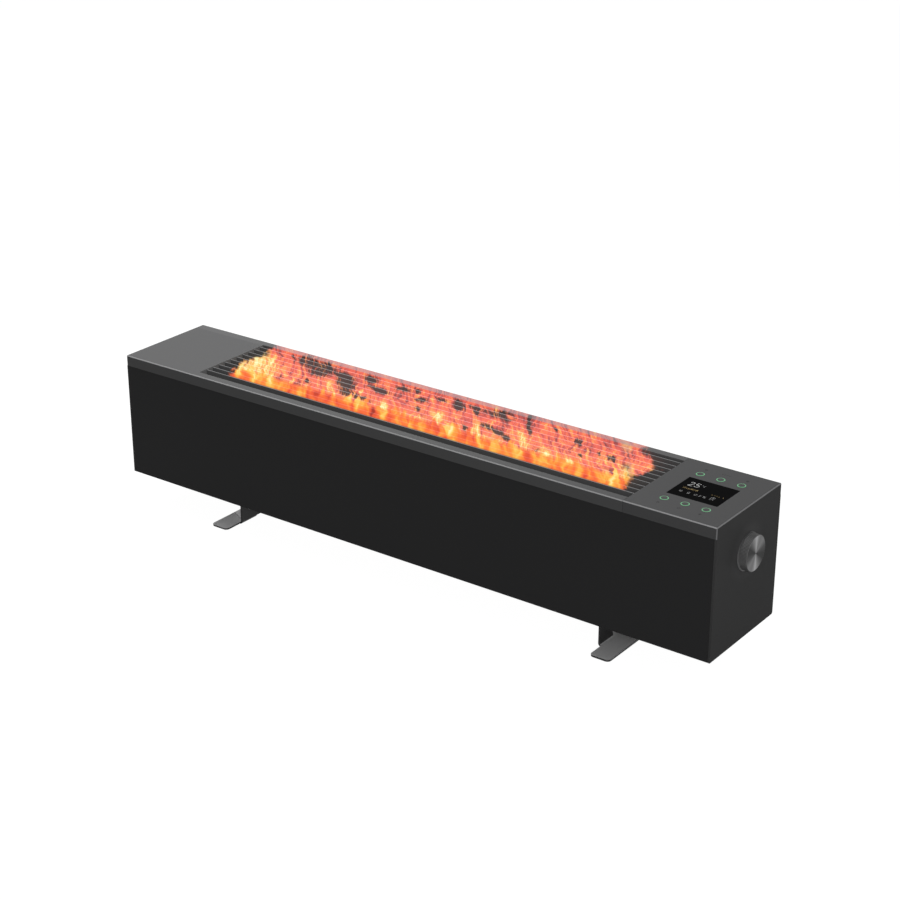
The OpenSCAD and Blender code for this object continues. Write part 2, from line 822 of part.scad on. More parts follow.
module light_rings()
    color("#5fa573") at_case()
        for (i = [-1:1], s = [-1, 1]) difference() {
            union() {
                post(field + i * key_pitch, s * key_row, ring_low, case_h + ring_top, ring_d);
                post(field + i * key_pitch, s * key_row, under_cover - ring_collar_t, under_cover,
                    ring_d + 2 * ring_collar_w);
            }
            post(field + i * key_pitch, s * key_row, ring_low - over, case_h + ring_top + over,
                ring_bore);
        }

module key(i, s)
    color("#4d4d50") at_case() union() {
        post(field + i * key_pitch, s * key_row, ring_low - cap_flange_t, case_h + key_proud, cap_d);
        post(field + i * key_pitch, s * key_row, ring_low - cap_flange_t, ring_low,
            cap_d + 2 * cap_flange_w);
        post(field + i * key_pitch, s * key_row, stem_low, ring_low, stem_d);
    }

module key_back_left() key(-1, 1);
module key_back_middle() key(0, 1);
module key_back_right() key(1, 1);
module key_front_left() key(-1, -1);
module key_front_middle() key(0, -1);
module key_front_right() key(1, -1);

// Knob and encoder

function grooved(r, depth, n) = [for (i = [0:2 * n - 1])
    let (a = 180 * i / n, q = i % 2 == 0 ? r : r - depth) [q * cos(a), q * sin(a)]];

module at_knob(x) translate([x, 0, knob_z]) rotate([0, 90, 0]) children();

module knob()
    color("#4a4a4b") at_case() difference() {
        union() {
            at_knob(knob_back) linear_extrude(knob_tip - knob_bevel - knob_back)
                polygon(grooved(knob_d / 2, groove_d, groove_count));
            at_knob(knob_tip - knob_bevel)
                cylinder(h = knob_bevel, d1 = knob_d - 2 * groove_d - fit, d2 = face_d);
        }
        // Hollow behind the front, but for the hub
        difference() {
            at_knob(knob_back - over)
                cylinder(h = knob_tip - knob_front - knob_back + over, d = knob_d - 2 * knob_wall);
            at_knob(knob_back - over) cylinder(h = knob_out, d = hub_d);
        }
        at_knob(knob_back - over) cylinder(h = hub_deep + over, d = nut_d + knob_wall);
        at_knob(knob_back - over) cylinder(h = shaft_tip - knob_back + over, d = shaft_d);
        at_knob(knob_tip - face_t) cylinder(h = face_t + over, d = face_d - knob_bevel);
    }

module knob_face()
    color("#8f9092") at_case()
        at_knob(knob_tip - face_t) cylinder(h = face_t, d = face_d - knob_bevel);

module knob_bezel()
    color("#5c5c5e") at_case() difference() {
        at_knob(half_l) cylinder(h = bezel_t, d = bezel_d);
        at_knob(half_l - over) cylinder(h = bezel_t + 2 * over, d = bezel_bore);
    }

module encoder_shaft()
    color("#b5b7ba") at_case()
        at_knob(half_l - end_t - shaft_in)
            cylinder(h = shaft_tip - half_l + end_t + shaft_in, d = shaft_d);

module encoder_body()
    color("#8f9499") at_case() difference() {
        union() {
            block(half_l - end_t - encoder_l, half_l - end_t, -encoder_w / 2, encoder_w / 2,
                knob_z - encoder_w / 2, knob_z + encoder_w / 2);
            at_knob(half_l - end_t - fit) cylinder(h = bushing_out + end_t + fit, d = bushing_d);
        }
        at_knob(half_l - end_t - shaft_in - fit)
            cylinder(h = knob_out + end_t + shaft_in, d = shaft_d + 2 * shaft_play);
    }

module encoder_nut()
    color("#a9abae") at_case() difference() {
        at_knob(half_l) cylinder(h = nut_t, d = nut_d, $fn = 6);
        at_knob(half_l - over) cylinder(h = nut_t + 2 * over, d = bushing_d);
    }

// Electrics

module power_board()
    color("#1b5138") at_case() difference() {
        block(board_x, board_end, board_front, board_front + board_w, board_low, board_top);
        for (p = standoff_points) post(p.x, p.y, board_low - over, board_top + over, small_d + fit);
    }

module board_standoffs()
    color("#c9cbce") at_case()
        for (p = standoff_points) difference() {
            post(p.x, p.y, plate_z, board_low, standoff_d);
            post(p.x, p.y, plate_z - over, board_low + over, small_d);
        }

module relays()
    color("#1f1f22") at_case()
        for (i = [0:2])
            block(board_x + row_b, board_x + row_b + relay_l,
                board_front + row_a + standoff_inset + i * (relay_w + relay_gap),
                board_front + row_a + standoff_inset + i * (relay_w + relay_gap) + relay_w,
                board_top, board_top + relay_h);

module transformer()
    color("#c7a14a") at_case() union() {
        block(trafo_x, trafo_x + trafo_w, trafo_y, trafo_y + trafo_l,
            board_top + trafo_core / 2, board_top + trafo_h - trafo_core / 2);
        block(trafo_x + trafo_core, trafo_x + trafo_w - trafo_core,
            trafo_y + fit, trafo_y + trafo_l - fit, board_top, board_top + trafo_h);
    }

module filter_capacitors()
    color("#31506e") at_case()
        for (i = [0, 1])
            post(board_x + row_b + can_d / 2 + i * (can_d + relay_gap), board_front + row_c + can_d / 2,
                board_top, board_top + can_h, can_d);

module terminal_block()
    color("#3d6b4a") at_case() difference() {
        block(block_x, block_x + block_w, block_y, block_y + block_l, board_top, board_top + block_h);
        for (i = [0:block_cells - 1])
            post(block_x + block_w / 2, block_y + (i + 1 / 2) * block_l / block_cells,
                board_top + block_h / 2, board_top + block_h + over, small_d + over);
    }

module heat_sink()
    color("#9fa2a5") at_case() union() {
        block(sink_x, sink_x + sink_base, sink_y, sink_y + sink_l, board_top, board_top + sink_h);
        for (i = [0:sink_fins - 1]) {
            y = sink_y + i * (sink_l - sink_fin_t) / (sink_fins - 1);
            block(sink_x, sink_x + sink_w, y, y + sink_fin_t, board_top, board_top + sink_h);
        }
    }

module tip_switch()
    color("#23324a") at_case()
        post(board_x + row_b / 2, board_front + row_c + tip_d, board_top, board_top + tip_h, tip_d);

module cable_gland()
    color("#171718") at_case() difference() {
        union() {
            post(gland_x, gland_y, -gland_out, gland_in, gland_d);
            translate([gland_x, gland_y, -gland_out]) cylinder(h = gland_out, d = nut_across, $fn = 6);
        }
        post(gland_x, gland_y, -gland_out - over, gland_in + over, gland_bore);
    }

module gland_nut()
    color("#202022") at_case() difference() {
        translate([gland_x, gland_y, plate_z]) cylinder(h = gland_in / 2, d = nut_across, $fn = 6);
        post(gland_x, gland_y, plate_z - over, gland_in, gland_d);
    }

// Inner wires. Each ends on the face of the terminal that it serves

module element_wires()
    color("#8e2a22") at_case() {
        wire([[stud_x, 0, element_z], [stud_x + wire_bend, 0, element_z],
            [stud_x + wire_bend, block_y + block_l / 8, element_z - wire_bend],
            [stud_x + wire_bend, block_y + block_l / 8, board_top + wire_bend],
            [block_x, block_y + block_l / 8, board_top + wire_bend]], wire_d);
        wire([[-stud_x, 0, element_z], [-stud_x - wire_bend, 0, element_z],
            [-stud_x - wire_bend, -wire_y, element_z - wire_bend],
            [-stud_x - wire_bend, -wire_y, wire_run_z],
            [stud_x - wire_bend / 4, -wire_y, wire_run_z],
            [stud_x + wire_bend / 2, -wire_y + wire_bend, board_top + wire_bend / 2],
            [stud_x + wire_bend / 2, block_y + block_l * 3 / 8, board_top + wire_bend / 2],
            [block_x, block_y + block_l * 3 / 8, board_top + wire_bend / 2]], wire_d);
    }

module chamber_wires()
    color("#b9b33a") at_case() {
        wire([[motor_back, wire_bend, rotor_z], [motor_back + wire_bend, wire_bend, rotor_z],
            [motor_back + wire_bend, wire_bend, board_top + 3 * wire_bend],
            [motor_back + wire_bend, block_y + block_l * 7 / 8, board_top + wire_bend],
            [block_x, block_y + block_l * 7 / 8, board_top + wire_bend]], wire_d / 2);
    }

module control_ribbon()
    color("#c9c9c4") at_case()
        block(board_end - ribbon_inset - ribbon_t, board_end - ribbon_inset,
            ribbon_y, ribbon_y + ribbon_w, board_top, key_board_low);

// Feet

module foot_section() {
    // Floor plate edge, bend, web, bend and upper flange, seen along the foot
    difference() {
        translate([foot_bend, foot_bend]) circle(r = foot_bend);
        translate([foot_bend, foot_bend]) circle(r = foot_bend - foot_t);
        area(foot_bend, 2 * foot_bend, 0, 2 * foot_bend);
        area(0, foot_bend, foot_bend, 2 * foot_bend);
    }
    area(0, foot_t, foot_bend, foot_span - foot_bend);
    difference() {
        translate([foot_bend, foot_span - foot_bend]) circle(r = foot_bend);
        translate([foot_bend, foot_span - foot_bend]) circle(r = foot_bend - foot_t);
        area(foot_bend, 2 * foot_bend, foot_span - 2 * foot_bend, foot_span);
        area(0, foot_bend, foot_span - 2 * foot_bend, foot_span - foot_bend);
    }
    area(foot_bend, foot_in, foot_span - foot_t, foot_span);
}

// The right foot. The left one is the same piece turned half round
module foot() translate([foot_x, 0, -foot_span]) difference() {
    union() {
        for (s = [-1, 1])
            translate([0, s * (web_y + tab_low) / 2 + web_w / 2, 0])
                rotate([90, 0, 0]) linear_extrude(web_w) foot_section();
        // Ear of the rear web, clear of the plate below it
        translate([0, tab_low + fit, 0]) rotate([90, 0, 0]) linear_extrude(ear_w)
            intersection() {
                foot_section();
                area(0, foot_in, ear_low, foot_span);
            }
        linear_extrude(foot_t) union() {
            area(foot_bend, foot_w, -foot_l / 2 + plate_r, foot_l / 2 - plate_r);
            area(-tongue, foot_w / 2, -tab_low, tab_low - ear_w);
            area(foot_bend + plate_r, foot_w - plate_r, -foot_l / 2, foot_l / 2);
            for (x = [foot_bend + plate_r, foot_w - plate_r], s = [-1, 1])
                translate([x, s * (foot_l / 2 - plate_r)]) circle(r = plate_r);
        }
        // Gusset from the outer edge of the plate to the rear web
        translate([foot_t / 2, web_y - gusset_in, foot_t - fit])
            rotate([0, 0, -atan2(gusset_back, gusset_run)]) rotate([90, 0, 0])
                translate([0, 0, -gusset_t / 2]) linear_extrude(gusset_t)
                    polygon([[0, 0], [norm([gusset_run, gusset_back]), 0], [0, gusset_h]]);
    }
    for (s = [-1, 1])
        post(foot_hole_x, s * foot_hole_y, foot_span - foot_t - over, foot_span + over, foot_hole_d);
}

module right_foot()
    color("#2e2e2f") at_case() foot();

module left_foot()
    color("#2e2e2f") at_case() rotate([0, 0, half_turn]) foot();

module foot_pads()
    color("#151515") at_case()
        for (turn = [0, half_turn], s = [-1, 1]) rotate([0, 0, turn])
            block(foot_x + foot_bend + pad_inset, foot_x + foot_w - pad_inset,
                s * pad_y - pad_l / 2, s * pad_y + pad_l / 2, -foot_h, pad_t - foot_h);

module foot_screws()
    color("#77797c") at_case()
        for (x = foot_holes_x, y = [-foot_hole_y, foot_hole_y]) union() {
            post(x, y, -foot_t - screw_head_h, -foot_t, screw_head_d);
            post(x, y, -foot_t - fit, plate_z + collar_h, screw_d);
        }

module case_screws()
    color("#5e6062") at_case()
        for (x = screw_xs, y = [-flange_screw_y, flange_screw_y]) union() {
            post(x, y, -small_head_h, 0, small_head_d);
            post(x, y, -fit, plate_z + sheet_t + small_head_h, small_d);
        }

module board_screws()
    color("#a9abad") at_case() {
        for (p = standoff_points) {
            post(p.x, p.y, board_top, board_top + small_head_h, small_head_d);
            post(p.x, p.y, board_low - small_head_h, board_top + fit, small_d);
        }
        for (p = post_points) {
            post(p.x, p.y, key_board_low - small_head_h, key_board_low, small_head_d);
            post(p.x, p.y, key_board_low - fit, key_board_top + small_head_h, small_d);
        }
    }

front_panel();
rear_panel();
bottom_plate();
left_end_cap();
right_end_cap();
grille_frame();
control_cover();
outlet_grille();
left_bulkhead();
right_bulkhead();
front_baffle();
rear_baffle();
flame_screen();
heating_element();
element_bushes();
thermal_cutout();
temperature_sensor();
lamp_boards();
flame_lamps();
flame_rotor();
rotor_bushes();
rotor_motor();
display_lens();
display_module();
key_board();
key_board_posts();
key_switches();
light_rings();
key_back_left();
key_back_middle();
key_back_right();
key_front_left();
key_front_middle();
key_front_right();
knob();
knob_face();
knob_bezel();
encoder_shaft();
encoder_body();
encoder_nut();
power_board();
board_standoffs();
relays();
transformer();
filter_capacitors();
terminal_block();
heat_sink();
tip_switch();
cable_gland();
gland_nut();
element_wires();
chamber_wires();
control_ribbon();
left_foot();
right_foot();
foot_pads();
foot_screws();
case_screws();
board_screws();
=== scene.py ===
import math
import random

import bmesh
import bpy
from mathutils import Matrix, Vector


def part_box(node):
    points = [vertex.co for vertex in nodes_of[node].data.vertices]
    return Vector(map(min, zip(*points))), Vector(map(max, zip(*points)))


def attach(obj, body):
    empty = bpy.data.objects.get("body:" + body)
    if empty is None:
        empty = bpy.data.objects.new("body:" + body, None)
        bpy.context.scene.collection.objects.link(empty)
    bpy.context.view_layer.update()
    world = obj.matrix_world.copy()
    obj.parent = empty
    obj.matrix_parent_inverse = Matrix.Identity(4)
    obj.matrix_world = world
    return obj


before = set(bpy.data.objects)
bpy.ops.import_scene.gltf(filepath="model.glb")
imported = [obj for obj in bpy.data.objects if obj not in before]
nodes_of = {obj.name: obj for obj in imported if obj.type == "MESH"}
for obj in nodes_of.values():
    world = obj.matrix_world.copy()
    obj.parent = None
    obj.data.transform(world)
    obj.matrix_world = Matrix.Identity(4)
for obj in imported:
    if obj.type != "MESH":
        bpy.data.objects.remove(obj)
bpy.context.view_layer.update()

chance = random.Random(7)
MM = 0.001

# Places shared by several pieces, in metres
CASE_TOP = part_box("grille_frame")[1].z
CASE_SHIFT = -6 * MM
LENS_LOW, LENS_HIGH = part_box("display_lens")
FIELD_X = (LENS_LOW.x + LENS_HIGH.x) / 2
KEY_PITCH = 30.1 * MM
KNOB_LOW, KNOB_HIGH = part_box("knob")
KNOB_RADIUS = (KNOB_HIGH.z - KNOB_LOW.z) / 2
KNOB_MIDDLE = (KNOB_LOW.x, 0.0, (KNOB_LOW.z + KNOB_HIGH.z) / 2)


# Node helpers

def feed(tree, socket, value):
    """Links a socket, or sets its plain value."""
    if isinstance(value, bpy.types.NodeSocket):
        tree.links.new(value, socket)
    else:
        socket.default_value = value


def node(tree, kind, inputs=None, **settings):
    """Adds a node; inputs maps a socket's name or number to a value or to another socket."""
    made = tree.nodes.new("ShaderNode" + kind)
    for name, value in settings.items():
        setattr(made, name, value)
    for key, value in (inputs or {}).items():
        feed(tree, made.inputs[key], value)
    return made


def sums(tree, how, *values, clamp=False):
    """A Math node's result."""
    return node(tree, "Math", dict(enumerate(values)), operation=how, use_clamp=clamp).outputs[0]


def vectors(tree, how, *values):
    """A Vector Math node's result; the second value of SCALE is a plain number."""
    keys = ("Vector", "Scale") if how == "SCALE" else range(len(values))
    made = node(tree, "VectorMath", dict(zip(keys, values)), operation=how)
    return made.outputs["Value" if how == "LENGTH" else "Vector"]


def parts(tree, vector):
    """The three parts of a vector."""
    return node(tree, "SeparateXYZ", {0: vector}).outputs


def whole(tree, **values):
    """A vector from its parts X, Y and Z; a part that isn't given is nought."""
    return node(tree, "CombineXYZ", values).outputs[0]


def ranged(tree, value, low, high, out_low=0.0, out_high=1.0, course="SMOOTHSTEP"):
    """The value carried from one range to another, with soft ends."""
    inputs = {"Value": value, "From Min": low, "From Max": high,
              "To Min": out_low, "To Max": out_high}
    return node(tree, "MapRange", inputs, interpolation_type=course).outputs["Result"]


def straight(tree, value, low, high, out_low, out_high):
    """The value carried from one range to another in a straight line."""
    return ranged(tree, value, low, high, out_low, out_high, course="LINEAR")


def noisy(tree, place, scale, detail=2.0, rough=0.5, distortion=0.0):
    """A cloudy noise over the place."""
    return node(tree, "TexNoise", {"Vector": place, "Scale": scale, "Detail": detail,
                                   "Roughness": rough, "Distortion": distortion})


def ramp(tree, value, stops):
    """A colour band; stops are (place, colour)."""
    made = node(tree, "ValToRGB", {"Fac": value})
    band = made.color_ramp.elements
    while len(band) < len(stops):
        band.new(0.5)
    for stop, (place, colour) in zip(band, stops):
        stop.position = place
        stop.color = (*colour, 1.0)
    return made.outputs["Color"]


def blend_colour(tree, share, *colours):
    """The first colour where the share is nought, the second where it is one."""
    sockets = [c if isinstance(c, bpy.types.NodeSocket) else (*c, 1.0) for c in colours]
    made = node(tree, "Mix", {0: share, 6: sockets[0], 7: sockets[1]}, data_type="RGBA")
    return made.outputs[2]


def bumped(tree, height, strength, distance=0.0002):
    """The surface's direction, roughened by a height."""
    inputs = {"Height": height, "Strength": strength, "Distance": distance}
    return node(tree, "Bump", inputs).outputs["Normal"]


def group(name, inputs, outputs):
    """An empty node group with named sockets; returns the tree and its two end nodes."""
    tree = bpy.data.node_groups.new(name, "ShaderNodeTree")
    for label, kind, value in inputs:
        socket = tree.interface.new_socket(label, in_out="INPUT", socket_type="NodeSocket" + kind)
        if value is not None:
            socket.default_value = value
    for label, kind in outputs:
        tree.interface.new_socket(label, in_out="OUTPUT", socket_type="NodeSocket" + kind)
    return tree, tree.nodes.new("NodeGroupInput"), tree.nodes.new("NodeGroupOutput")


def use(tree, made, **inputs):
    """Places a node group in a material; underscores in names stand for spaces."""
    placed = tree.nodes.new("ShaderNodeGroup")
    placed.node_tree = made
    for key, value in inputs.items():
        feed(tree, placed.inputs[key.replace("_", " ")], value)
    return placed.outputs


def material(name):
    """A new material, with its tree, its shader and the place on the piece."""
    made = bpy.data.materials.new(name)
    made.use_nodes = True
    tree = made.node_tree
    shader = tree.nodes["Principled BSDF"]
    place = node(tree, "TexCoord").outputs["Object"]
    return made, tree, shader, place


def join(tree, shader, **links):
    """Feeds the shader's own sockets; underscores in names stand for spaces."""
    for key, value in links.items():
        feed(tree, shader.inputs[key.replace("_", " ")], value)


# Shared effects

def make_grain():
    """Fine grain of a powder coat or moulding: colour, roughness and height over the surface."""
    tree, start, end = group(
        "coat grain",
        [("Place", "Vector", None), ("Colour", "Color", None), ("Grain size", "Float", 900.0),
         ("Depth", "Float", 0.1), ("Roughness", "Float", 0.5)],
        [("Colour", "Color"), ("Roughness", "Float"), ("Height", "Float")])
    place, depth = start.outputs["Place"], start.outputs["Depth"]
    cloud_share = roughness_share = 0.6
    fine = noisy(tree, place, start.outputs["Grain size"], detail=3.0, rough=0.6).outputs["Fac"]
    cloud = noisy(tree, place, 7.0, detail=3.0, rough=0.55).outputs["Fac"]
    grain = sums(tree, "MULTIPLY", sums(tree, "SUBTRACT", fine, 0.5), depth)
    clouds = sums(tree, "MULTIPLY", sums(tree, "SUBTRACT", cloud, 0.5),
                  sums(tree, "MULTIPLY", depth, cloud_share))
    swing = sums(tree, "ADD", grain, clouds)
    colour = vectors(tree, "SCALE", start.outputs["Colour"], sums(tree, "ADD", swing, 1.0))
    rough = sums(tree, "ADD", start.outputs["Roughness"],
                 sums(tree, "MULTIPLY", swing, roughness_share), clamp=True)
    tree.links.new(colour, end.inputs["Colour"])
    tree.links.new(rough, end.inputs["Roughness"])
    tree.links.new(fine, end.inputs["Height"])
    return tree


def make_brushed():
    """Long fine scratches of rolled or brushed metal along X."""
    tree, start, end = group(
        "rolled metal",
        [("Place", "Vector", None), ("Colour", "Color", None), ("Roughness", "Float", 0.35)],
        [("Colour", "Color"), ("Roughness", "Float"), ("Height", "Float")])
    drawn_out = (30.0, 1100.0, 1100.0)
    darkest, tone_share, roughness_share = 0.82, 0.18, 0.3
    drawn = vectors(tree, "MULTIPLY", start.outputs["Place"], drawn_out)
    lines = noisy(tree, drawn, 1.0, detail=3.0, rough=0.6).outputs["Fac"]
    blotch = noisy(tree, start.outputs["Place"], 22.0).outputs["Fac"]
    tone = sums(tree, "ADD", darkest,
                sums(tree, "MULTIPLY", sums(tree, "ADD", lines, blotch), tone_share))
    rough = sums(tree, "MULTIPLY", sums(tree, "SUBTRACT", lines, 0.5), roughness_share)
    rough = sums(tree, "ADD", start.outputs["Roughness"], rough, clamp=True)
    colour = vectors(tree, "SCALE", start.outputs["Colour"], tone)
    tree.links.new(colour, end.inputs["Colour"])
    tree.links.new(rough, end.inputs["Roughness"])
    tree.links.new(lines, end.inputs["Height"])
    return tree


# Flame picture, in millimetres of the case's own length and depth. The flames stand on the
# line FLAME_FOOT and lean along the case. SIGHT is how far the picture slides for each unit
# below the top.
FLAME_FOOT = -53.5
FLAME_LEAN = 0.70
SIGHT_X, SIGHT_Y = 1.367, -1.859
SWAY_WIDTH, SWAY_HEIGHT = 26, 40
SWAY_REACH = (23.0, 30.0, 0.0)

# Heights above the foot: the bed's top and its softness, the crest of the licks that rise from
# it and how far it swings, and where the licks, the warmth and the rose tone come and go
BED_TOP, BED_SOFT = 29.0, 6.0
CREST_RISE, CREST_SWING, CREST_SOFT = 4.0, 190.0, (-6.0, 14.0)
LICKS_GO = (84.0, 30.0)
COOLER_UP = (112.0, 28.0)
ROSE_UP = (25.0, 110.0)

# Openings, hot tongues, deep embers and greenish wisps:
# (x, y, half width across the lean, half length along it, faintness)
OPENINGS = [
    (-248, 54, 32, 18, 0), (-228, 36, 16, 16, 0), (-186, 40, 17, 13, 0), (-166, 20, 16, 17, 0),
    (-146, -2, 13, 14, 0), (-215, -6, 5, 8, 0.1), (-116, -8, 18, 7, 0.3),
    (-108, 32, 26, 10, 0.35), (-150, 58, 14, 12, 0.2), (-40, 34, 12, 10, 0.4),
    (-88, 56, 18, 9, 0.25), (-14, 54, 14, 9, 0.35), (40, 56, 16, 9, 0.3), (12, 52, 9, 14, 0.2),
    (-28, 6, 7, 12, 0.4), (75, 58, 19, 10, 0), (52, 40, 7, 12, 0.3), (135, 49, 4, 20, 0),
    (94, 10, 13, 9, 0), (112, 3, 10, 9, 0.1), (130, -5, 10, 9, 0.15), (217, 41, 6, 13, 0.05),
    (265, 22, 4, 6, 0.1), (286, 22, 10, 9, 0.25), (315, 8, 8, 12, 0.3), (69, -10, 4, 8, 0.1),
    (192, -12, 6, 5, 0.3), (250, 2, 3, 5, 0.2), (318, 66, 12, 16, 0), (-300, 62, 5, 8, 0.5),
    (-64, 62, 8, 12, 0.4), (170, 60, 10, 8, 0.55)]
HOT_TONGUES = [
    (-317, 14, 17, 30, -0.4), (-317, -14, 17, 22, -0.6), (-306, -32, 12, 10, 0.1),
    (-272, -20, 8, 22, 0.1), (-228, -30, 7, 20, 0.35), (-192, -42, 8, 9, 0.35),
    (-174, -4, 6, 17, 0.45), (-126, 8, 4, 10, 0.5), (-127, -18, 5, 14, 0.5),
    (-75, -5, 5, 24, 0.35), (-44, -22, 8, 12, 0.3), (-98, -36, 8, 12, 0.5),
    (18, -4, 8, 24, 0.2), (6, -28, 9, 14, 0.1), (54, -30, 8, 14, 0.3), (86, -6, 7, 16, 0.2),
    (114, -34, 13, 16, 0.05), (153, 4, 6, 24, 0.25), (166, -8, 6, 16, 0.3),
    (208, -28, 8, 24, 0), (246, -24, 6, 18, 0.25), (231, 18, 5, 18, 0.3), (254, 14, 4, 20, 0.3),
    (334, -20, 9, 28, 0.05), (306, -28, 7, 16, 0.2), (96, 57, 7, 6, 0.45),
    (285, 68, 5, 14, 0.5), (-12, -40, 8, 10, 0.4)]
EMBERS = [
    (-322, -52, 20, 12, 0), (-170, -42, 36, 14, -0.1), (-98, -44, 36, 14, -0.1),
    (-40, -50, 16, 7, 0.3), (70, -52, 20, 6, 0.4), (232, -50, 14, 7, 0.3),
    (290, -52, 12, 6, 0.4)]
GREENISH = [(281, 62, 9, 16, 0.2), (325, 4, 6, 18, 0)]

# Ends of the picture as (y, x) along the case's depth, and the x that each may take
EDGE_NEAR, EDGE_FAR = -60.0, 90.0
LEFT_EDGE = [(-60, -323), (-35, -332), (-7, -342), (5, -345), (19, -341), (30, -337),
             (48, -341), (65, -346), (90, -358)]
LEFT_SPAN = (-360.0, -320.0)
RIGHT_EDGE = [(-60, 358), (-25, 343), (-7, 341), (12, 349), (25, 350), (41, 337), (57, 324),
              (90, 302)]
RIGHT_SPAN = (290.0, 365.0)
RAGGED_REACH = 46.0
END_SOFT, FOOT_SOFT = (-3.0, 9.0), (-3.5, 1.5)

# Warmth runs from deep red to pale yellow
WARMTH_BAND = [
    (0.0, (0.40, 0.042, 0.028)), (0.16, (0.70, 0.078, 0.040)), (0.32, (0.88, 0.115, 0.045)),
    (0.46, (0.98, 0.185, 0.048)), (0.60, (1.0, 0.29, 0.050)), (0.76, (1.0, 0.48, 0.080)),
    (0.90, (1.0, 0.66, 0.15)), (1.0, (1.0, 0.86, 0.38))]
ROSE_ABOVE = (0.0, 0.020, 0.046)
GREENISH_FLAME = (0.50, 0.45, 0.22)


def make_flame():
    """The picture of flames that the lamps and the rotor throw.

    It gives the light, its cover, the dense bed at its foot and the zone that it fills.
    """
    tree, start, end = group(
        "flame light", [("Place", "Vector", None)],
        [("Light", "Color"), ("Cover", "Float"), ("Bed", "Float"), ("Zone", "Float")])
    x, y = parts(tree, start.outputs["Place"])[:2]
    across = sums(tree, "MULTIPLY_ADD", y, FLAME_LEAN, x)
    up = sums(tree, "SUBTRACT", y, FLAME_FOOT)
    plain = whole(tree, X=across, Y=up)
    sway = vectors(tree, "MULTIPLY", plain, (1 / SWAY_WIDTH, 1 / SWAY_HEIGHT, 1.0))
    sway = noisy(tree, sway, 1.0).outputs["Color"]
    sway = vectors(tree, "SUBTRACT", sway, (0.5, 0.5, 0.5))
    swayed = vectors(tree, "ADD", plain, vectors(tree, "MULTIPLY", sway, SWAY_REACH))

    def streaks(wide, long, shift, detail=2.0, rough=0.5, distortion=0.0):
        """A noise drawn out along the flames; the shift gives each its own."""
        at = vectors(tree, "MULTIPLY", swayed, (1 / wide, 1 / long, 1.0))
        at = vectors(tree, "ADD", at, (shift, shift, shift))
        return noisy(tree, at, 1.0, detail, rough, distortion).outputs["Fac"]

    def threads_of(wide, long, shift, thick, distortion):
        """Thin curling lines, where a slow noise passes its middle."""
        slow = streaks(wide, long, shift, detail=1.0, distortion=distortion)
        off = sums(tree, "ABSOLUTE", sums(tree, "SUBTRACT", slow, 0.5))
        return ranged(tree, off, thick, 0.0)

    def patches(places, outer=1.7, inner=0.45):
        """Soft oval patches at the places of a table."""
        found = None
        for px, py, wide, long, faint in places:
            centre = (px + FLAME_LEAN * py, py - FLAME_FOOT, 0.0)
            near = vectors(tree, "SUBTRACT", swayed, centre)
            near = vectors(tree, "MULTIPLY", near, (1 / wide, 1 / long, 1.0))
            near = vectors(tree, "LENGTH", near)
            near = sums(tree, "ADD", near, faint) if faint else near
            found = near if found is None else sums(tree, "MINIMUM", found, near)
        return ranged(tree, found, outer, inner)

    def layered(base, *layers):
        """Adds noises by their strengths; each is centred, so that the base stays the middle."""
        for value, strength in layers:
            centred = sums(tree, "SUBTRACT", value, 0.5)
            base = sums(tree, "MULTIPLY_ADD", centred, strength, base)
        return base

    def edge(points, low, high):
        """The x at which the picture ends, by the depth in the case."""
        made = node(tree, "FloatCurve",
                    {"Value": straight(tree, y, EDGE_NEAR, EDGE_FAR, 0.0, 1.0)})
        line = made.mapping.curves[0]
        while len(line.points) < len(points):
            line.points.new(0.5, 0.5)
        for point, (py, px) in zip(line.points, points):
            point.location = ((py - EDGE_NEAR) / (EDGE_FAR - EDGE_NEAR), (px - low) / (high - low))
        made.mapping.update()
        return sums(tree, "MULTIPLY_ADD", made.outputs[0], high - low, low)

    tongues = streaks(8.0, 46.0, 3.0, rough=0.55)
    fine = streaks(3.4, 44.0, 17.0, rough=0.6)
    broad = streaks(30.0, 60.0, 11.0)
    soft = streaks(17.0, 90.0, 61.0, detail=1.0, rough=0.4)
    threads = sums(tree, "MAXIMUM", threads_of(12.0, 60.0, 23.0, thick=0.022, distortion=0.3),
                   threads_of(17.0, 30.0, 37.0, thick=0.018, distortion=0.9))
    holes = patches(OPENINGS, outer=1.9, inner=0.25)
    hot = patches(HOT_TONGUES)
    embers = patches(EMBERS, outer=1.6, inner=0.2)

    # The bed of the fire, and the licks that rise from it
    crest = streaks(13.0, 160.0, 51.0, detail=1.0)
    crest = layered(BED_TOP + CREST_RISE, (crest, CREST_SWING))
    licks = sums(tree, "MULTIPLY", ranged(tree, sums(tree, "SUBTRACT", crest, up), *CREST_SOFT),
                 ranged(tree, up, *LICKS_GO, out_high=0.9))
    bed = ranged(tree, up, BED_TOP + BED_SOFT, BED_TOP - BED_SOFT)
    bed = sums(tree, "MAXIMUM", bed, licks)

    # Warmth above the bed, in it, in its hot tongues and in its embers
    above = layered(0.33, (tongues, 1.2), (fine, 0.45), (broad, 0.5))
    above = sums(tree, "ADD", above, straight(tree, up, *COOLER_UP, -0.11, 0.12))
    above = sums(tree, "MULTIPLY_ADD", threads, 0.27, above)
    below = layered(sums(tree, "MULTIPLY_ADD", licks, 0.20, 0.42), (soft, 1.5), (tongues, 0.5))
    warmth = sums(tree, "MULTIPLY_ADD", bed, sums(tree, "SUBTRACT", below, above), above)
    heat = sums(tree, "MULTIPLY_ADD", bed, -0.24, layered(0.40, (fine, 0.45)))
    warmth = sums(tree, "MULTIPLY_ADD", hot, heat, warmth)
    warmth = sums(tree, "MULTIPLY_ADD", embers, -0.23, warmth)

